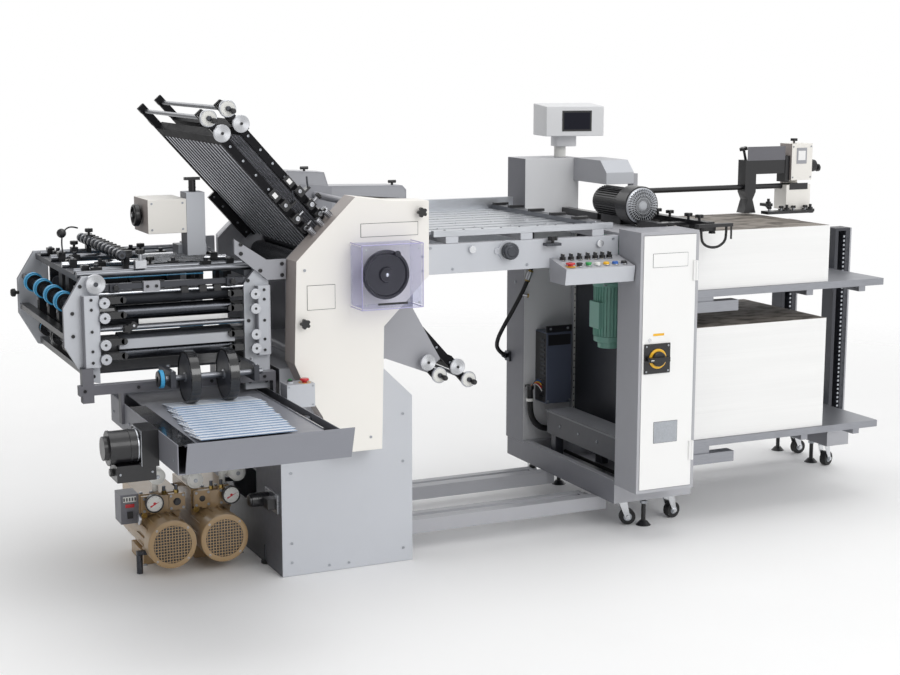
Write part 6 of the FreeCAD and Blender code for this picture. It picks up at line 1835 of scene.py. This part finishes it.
    def casters(self) -> None:
        """Hubs and axle nuts of the caster wheels, lock nuts of the feet."""
        form = Form(CHROME)
        for x, y, turn in ((946, -270, -20), (1116, -270, 10), (946, 330, 60), (1116, 330, 10),
                           (1994, 67, 20), (2010, 262, 0)):
            form.placing = turned((x, y, 0), math.radians(turn), "Z")
            form.use(CHROME).drum((18, -15.5, 25), NEAR, 7, 4, 6).drum((18, 15.5, 25), Y, 7, 4, 6).use(ZINC)
            for side in (-11, 11):
                form.ring((18, side - 0.8, 25), Y, 13, 5.2, 1.6, 24)
            form.drum((0, 0, 79), Z, 17, 5)
        form.placing = Matrix.Identity(4)
        form.drums([(1005, -305, 70), (1005, 245, 70), (1988, 130, 70), (1988, 330, 70)], Z, 12, 8, 6)
        form.piece("caster_details", slot="bright_steel", edge=0.3)

    def lift_drive(self) -> None:
        """Ribs, fan cover and terminal box of the lift motor."""
        Form(TEAL, "lift_motor").dress(2.4)
        x, y = self.lift_motor
        form = Form(TEAL)
        for _ in form.spin(30, (x, y, 0), "Z"):
            form.block(45, 51.5, -1.3, 1.3, 580, 738)
        form.ring((x, y, 738), Z, 54, 44, 12, 40).ring((x, y, 562), Z, 49, 44, 16, 40)
        form.use(ZINC).nuts([(at, y + a, 750) for a, at in product((-50, 50), (932, 1038))], DOWN, 6, 5)
        form.piece("lift_motor_details", slot="green_grey_paint", edge=0.4)

    def blower(self) -> None:
        """Ribbed blower motor with a radially slotted, domed fan cover."""
        Form(BLACK, "blower_motor").dress(2)
        x, y, z = self.fan
        form = Form(BLACK)
        for _ in form.spin(36, (x, 0, z), "Y", -1):
            form.block(44, 50, -156, 0, -1.1, 1.1)
        form.use(ALUMINIUM).knob((x, y, z), NEAR,
                                 [(56, 0), (56, 2), (52, 5), (24, 9), (13, 10), (12, 11.4)], 56, 11.6)
        for _ in form.spin(36, (x, y, z), "Y", -1):
            form.use(GLOSS_BLACK).block(15, 51, -10.4, -5.6, -1.7, 1.1)
            form.use(ALUMINIUM).block(15, 53, -11, -4, 1.3, 2.5)
        for ring in (24, 34, 44):
            form.ring((x, y - 10.4, z), NEAR, ring + 1.2, ring, 1.4, 48)
        form.piece("blower_details", slot="black_paint")

    def display(self) -> None:
        """Display housing with a sunk dark screen and rounded edges."""
        Form(SCREEN_GREY, "monitor").dress(5)
        form = Form(BLACK_PLASTIC)
        form.placing = turned(self.monitor, math.radians(self.monitor_turn), "Z")
        form.block(-30, 74, -101.4, -100, 1208, 1276)
        form.use(SCREEN).block(-24, 68, -102, -101.2, 1214, 1270)
        form.piece("display_screen", "monitor", "cream_paint", 0.4)


@dataclass
class PileLift:
    """Boards, piles and chain columns."""

    columns: Pair = (-16, 275)
    left: float = 1941
    right: float = 2008

    def build(self) -> None:
        """Dresses the nodes and adds the chains."""
        for node in ("upper_pile_board", "lower_pile_board"):
            Form(BOARD, node).dress(1.2)
        for node in ("upper_pile", "lower_pile"):
            Form(PAPER_EDGE, node).facing(Z, PAPER_TOP).dress(0.6)
        Form(DARK, "pile_columns").facing(X, FRAME_GREY).regions(
            ((1960, 1990, 40, 280, 800, 850), FRAME_GREY)).dress(1)
        chain, right = Form(OILED), self.right
        for y, z in product(self.columns, range(170, 850, 14)):
            chain.block(1958, 1964, y + 20, y + 24, z, z + 9).block(1958, 1964, y + 32, y + 36, z, z + 9)
            chain.drum((1961, y + 22, z + 4.5), Y, 3.4, 12, 8)
        for y in self.columns:
            chain.use(OILED).screws(product((right - 10,), (y,), range(190, 850, 40)), NEAR, 3, 1.4).use(ZINC)
            for z in range(190, 850, 15):
                chain.block(1975, 1982, y - 1.2, y - 0.2, z, z + 7)
            chain.use(FRAME_GREY).block(right - 5, right + 1, y - 2, y + 62, 143, 868)
            chain.block(self.left, right, y - 3, y, 143, 190)
        chain.piece("lift_chains", slot="bright_steel")


@dataclass
class FeedHead:
    """Sliding suction head with its rail and its bars."""

    x: float = 1618
    rail_y: float = 60

    def build(self) -> None:
        """Dresses the nodes and adds knobs, suckers and pipes."""
        Form(BLACK, "feed_bars").regions(((1150, 1180, 30, 90, 990, 1080), FRAME_GREY)).dress(1)
        x, y = self.x, self.rail_y
        # The left faces of the cream parts take the darker cream: painted shade.
        Form(BLACK, "feed_head").regions(
            ((x + 156, x + 250, -100, 200, 1030, 1165), CREAM),
            ((x + 138, x + 242, -100, 200, 930, 1040), CREAM)).facing(
            LEFT, SHADED_CREAM, (x + 150, x + 250, -100, 200, 930, 1165)).dress(1.6)
        form = Form(BLACK_PLASTIC)
        form.use(BEAM_GREY).block(x - 16, x + 139, y - 23, y - 22, 1106, 1153)
        form.use(MID_GREY).block(x + 178, x + 220, y - 35.4, y - 34, 1092, 1146)
        form.use(WHITE).block(x + 184, x + 214, y - 36, y - 35.2, 1104, 1136)
        form.use(BLACK).block(x + 152, x + 228, y - 35.4, y - 34, 1004, 1026)
        spots = [(x + a, y - 34, z) for z, a in product((1046, 1150), (164, 238))]
        form.use(ZINC).screws(spots, NEAR, 3, 1.6)
        form.use(BLACK_PLASTIC).drums(around((x + 250, y, 1082), 20, 20, fixed=0), X, 1.2, 24, 5)
        form.knob((x + 278, y, 1074), X, [(7, 0), (7, 8), (13, 12), (13, 20)], 28, 22)
        for a in (60, 110, 160, 210):
            form.use(STEEL).drum((x + a, y - 50, 926.5), Z, 5, 18, 16)
            form.use(BLACK_PLASTIC).star((x + a, y - 50, 938), Z, 9, 6)
        form.use(BLACK)
        for at, depth, z in ((x + 125, y - 60, 926), (x + 223, y - 60, 925), (x + 77, y - 20, 945)):
            form.drum((at, depth, z), Z, 9, 20, 20).drum((at, depth, z + 20), Z, 5, 10, 16)
            form.post((at, depth + 12), (14, 18), z + 4, z + 14)
        form.piece("feed_head_fittings", "feed_head", "black_plastic", 0.4)
        bars = Form(BLACK)
        for at in (-400, -340, -270, -170, -100, -20, 40):
            bars.use(BLACK).post((1153, at), (23, 9), 930, 944)
            bars.use(RUBBER).drum((1168, at, 930), DOWN, 9, 8, 20, 11)
        bars.piece("feed_bar_fittings", slot="black_paint", edge=0.5)


@dataclass
class Cord:
    """A free hose or conduit along its route, in metres."""

    name: str
    node: str
    route: list[Point]
    radius: float
    length: float
    stiffness: str

    def build(self) -> None:
        line = tube(self.name, self.route, self.radius, order=3, steps=12, round_steps=6)
        line.materials.append(RUBBER.material())
        made = placed(self.name, line)
        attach(made, "machine")
        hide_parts(self.node)
        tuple(self.route[0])


CORDS = (
    Cord("air_hose_line", "air_hose",
         [(0.886, 0.236, 0.905), (0.886, 0.236, 0.845), (0.891, 0.236, 0.765), (0.867, 0.242, 0.696),
          (0.836, 0.262, 0.622), (0.808, 0.286, 0.556), (0.802, 0.322, 0.505), (0.816, 0.350, 0.466),
          (0.848, 0.362, 0.446)], 0.007, 0.52, "medium"),
    Cord("conduit_line", "cable_conduit",
         [(0.884, 0.234, 0.345), (0.884, 0.234, 0.300), (0.886, 0.232, 0.256), (0.903, 0.229, 0.224),
          (0.934, 0.222, 0.204), (0.985, 0.222, 0.204)], 0.010, 0.21, "stiff"),
    Cord("bar_hose_line", "air_hose",
         [(1.102, -0.440, 0.946), (1.102, -0.440, 0.918), (1.108, -0.442, 0.896), (1.134, -0.444, 0.884),
          (1.164, -0.444, 0.886), (1.188, -0.442, 0.902), (1.192, -0.440, 0.924), (1.192, -0.440, 0.946)],
         0.004, 0.18, "limp"))
UNITS = (FoldStand, FoldUnit, SideCover, CrossUnit, GateDrive, Delivery, Pumps, RegisterTable, ControlDesk,
         Feeder, PileLift, FeedHead)


def main() -> None:
    """Builds every sub-assembly in order."""
    logging.basicConfig(level=logging.INFO, format="%(message)s")
    studio = Studio()
    studio.camera()
    for cord in CORDS:
        cord.build()
    studio.lights()
    studio.floor()
    for unit in UNITS:
        LOG.info("building %s", unit.__name__)
        unit().build()


if __name__ == "__main__":
    main()
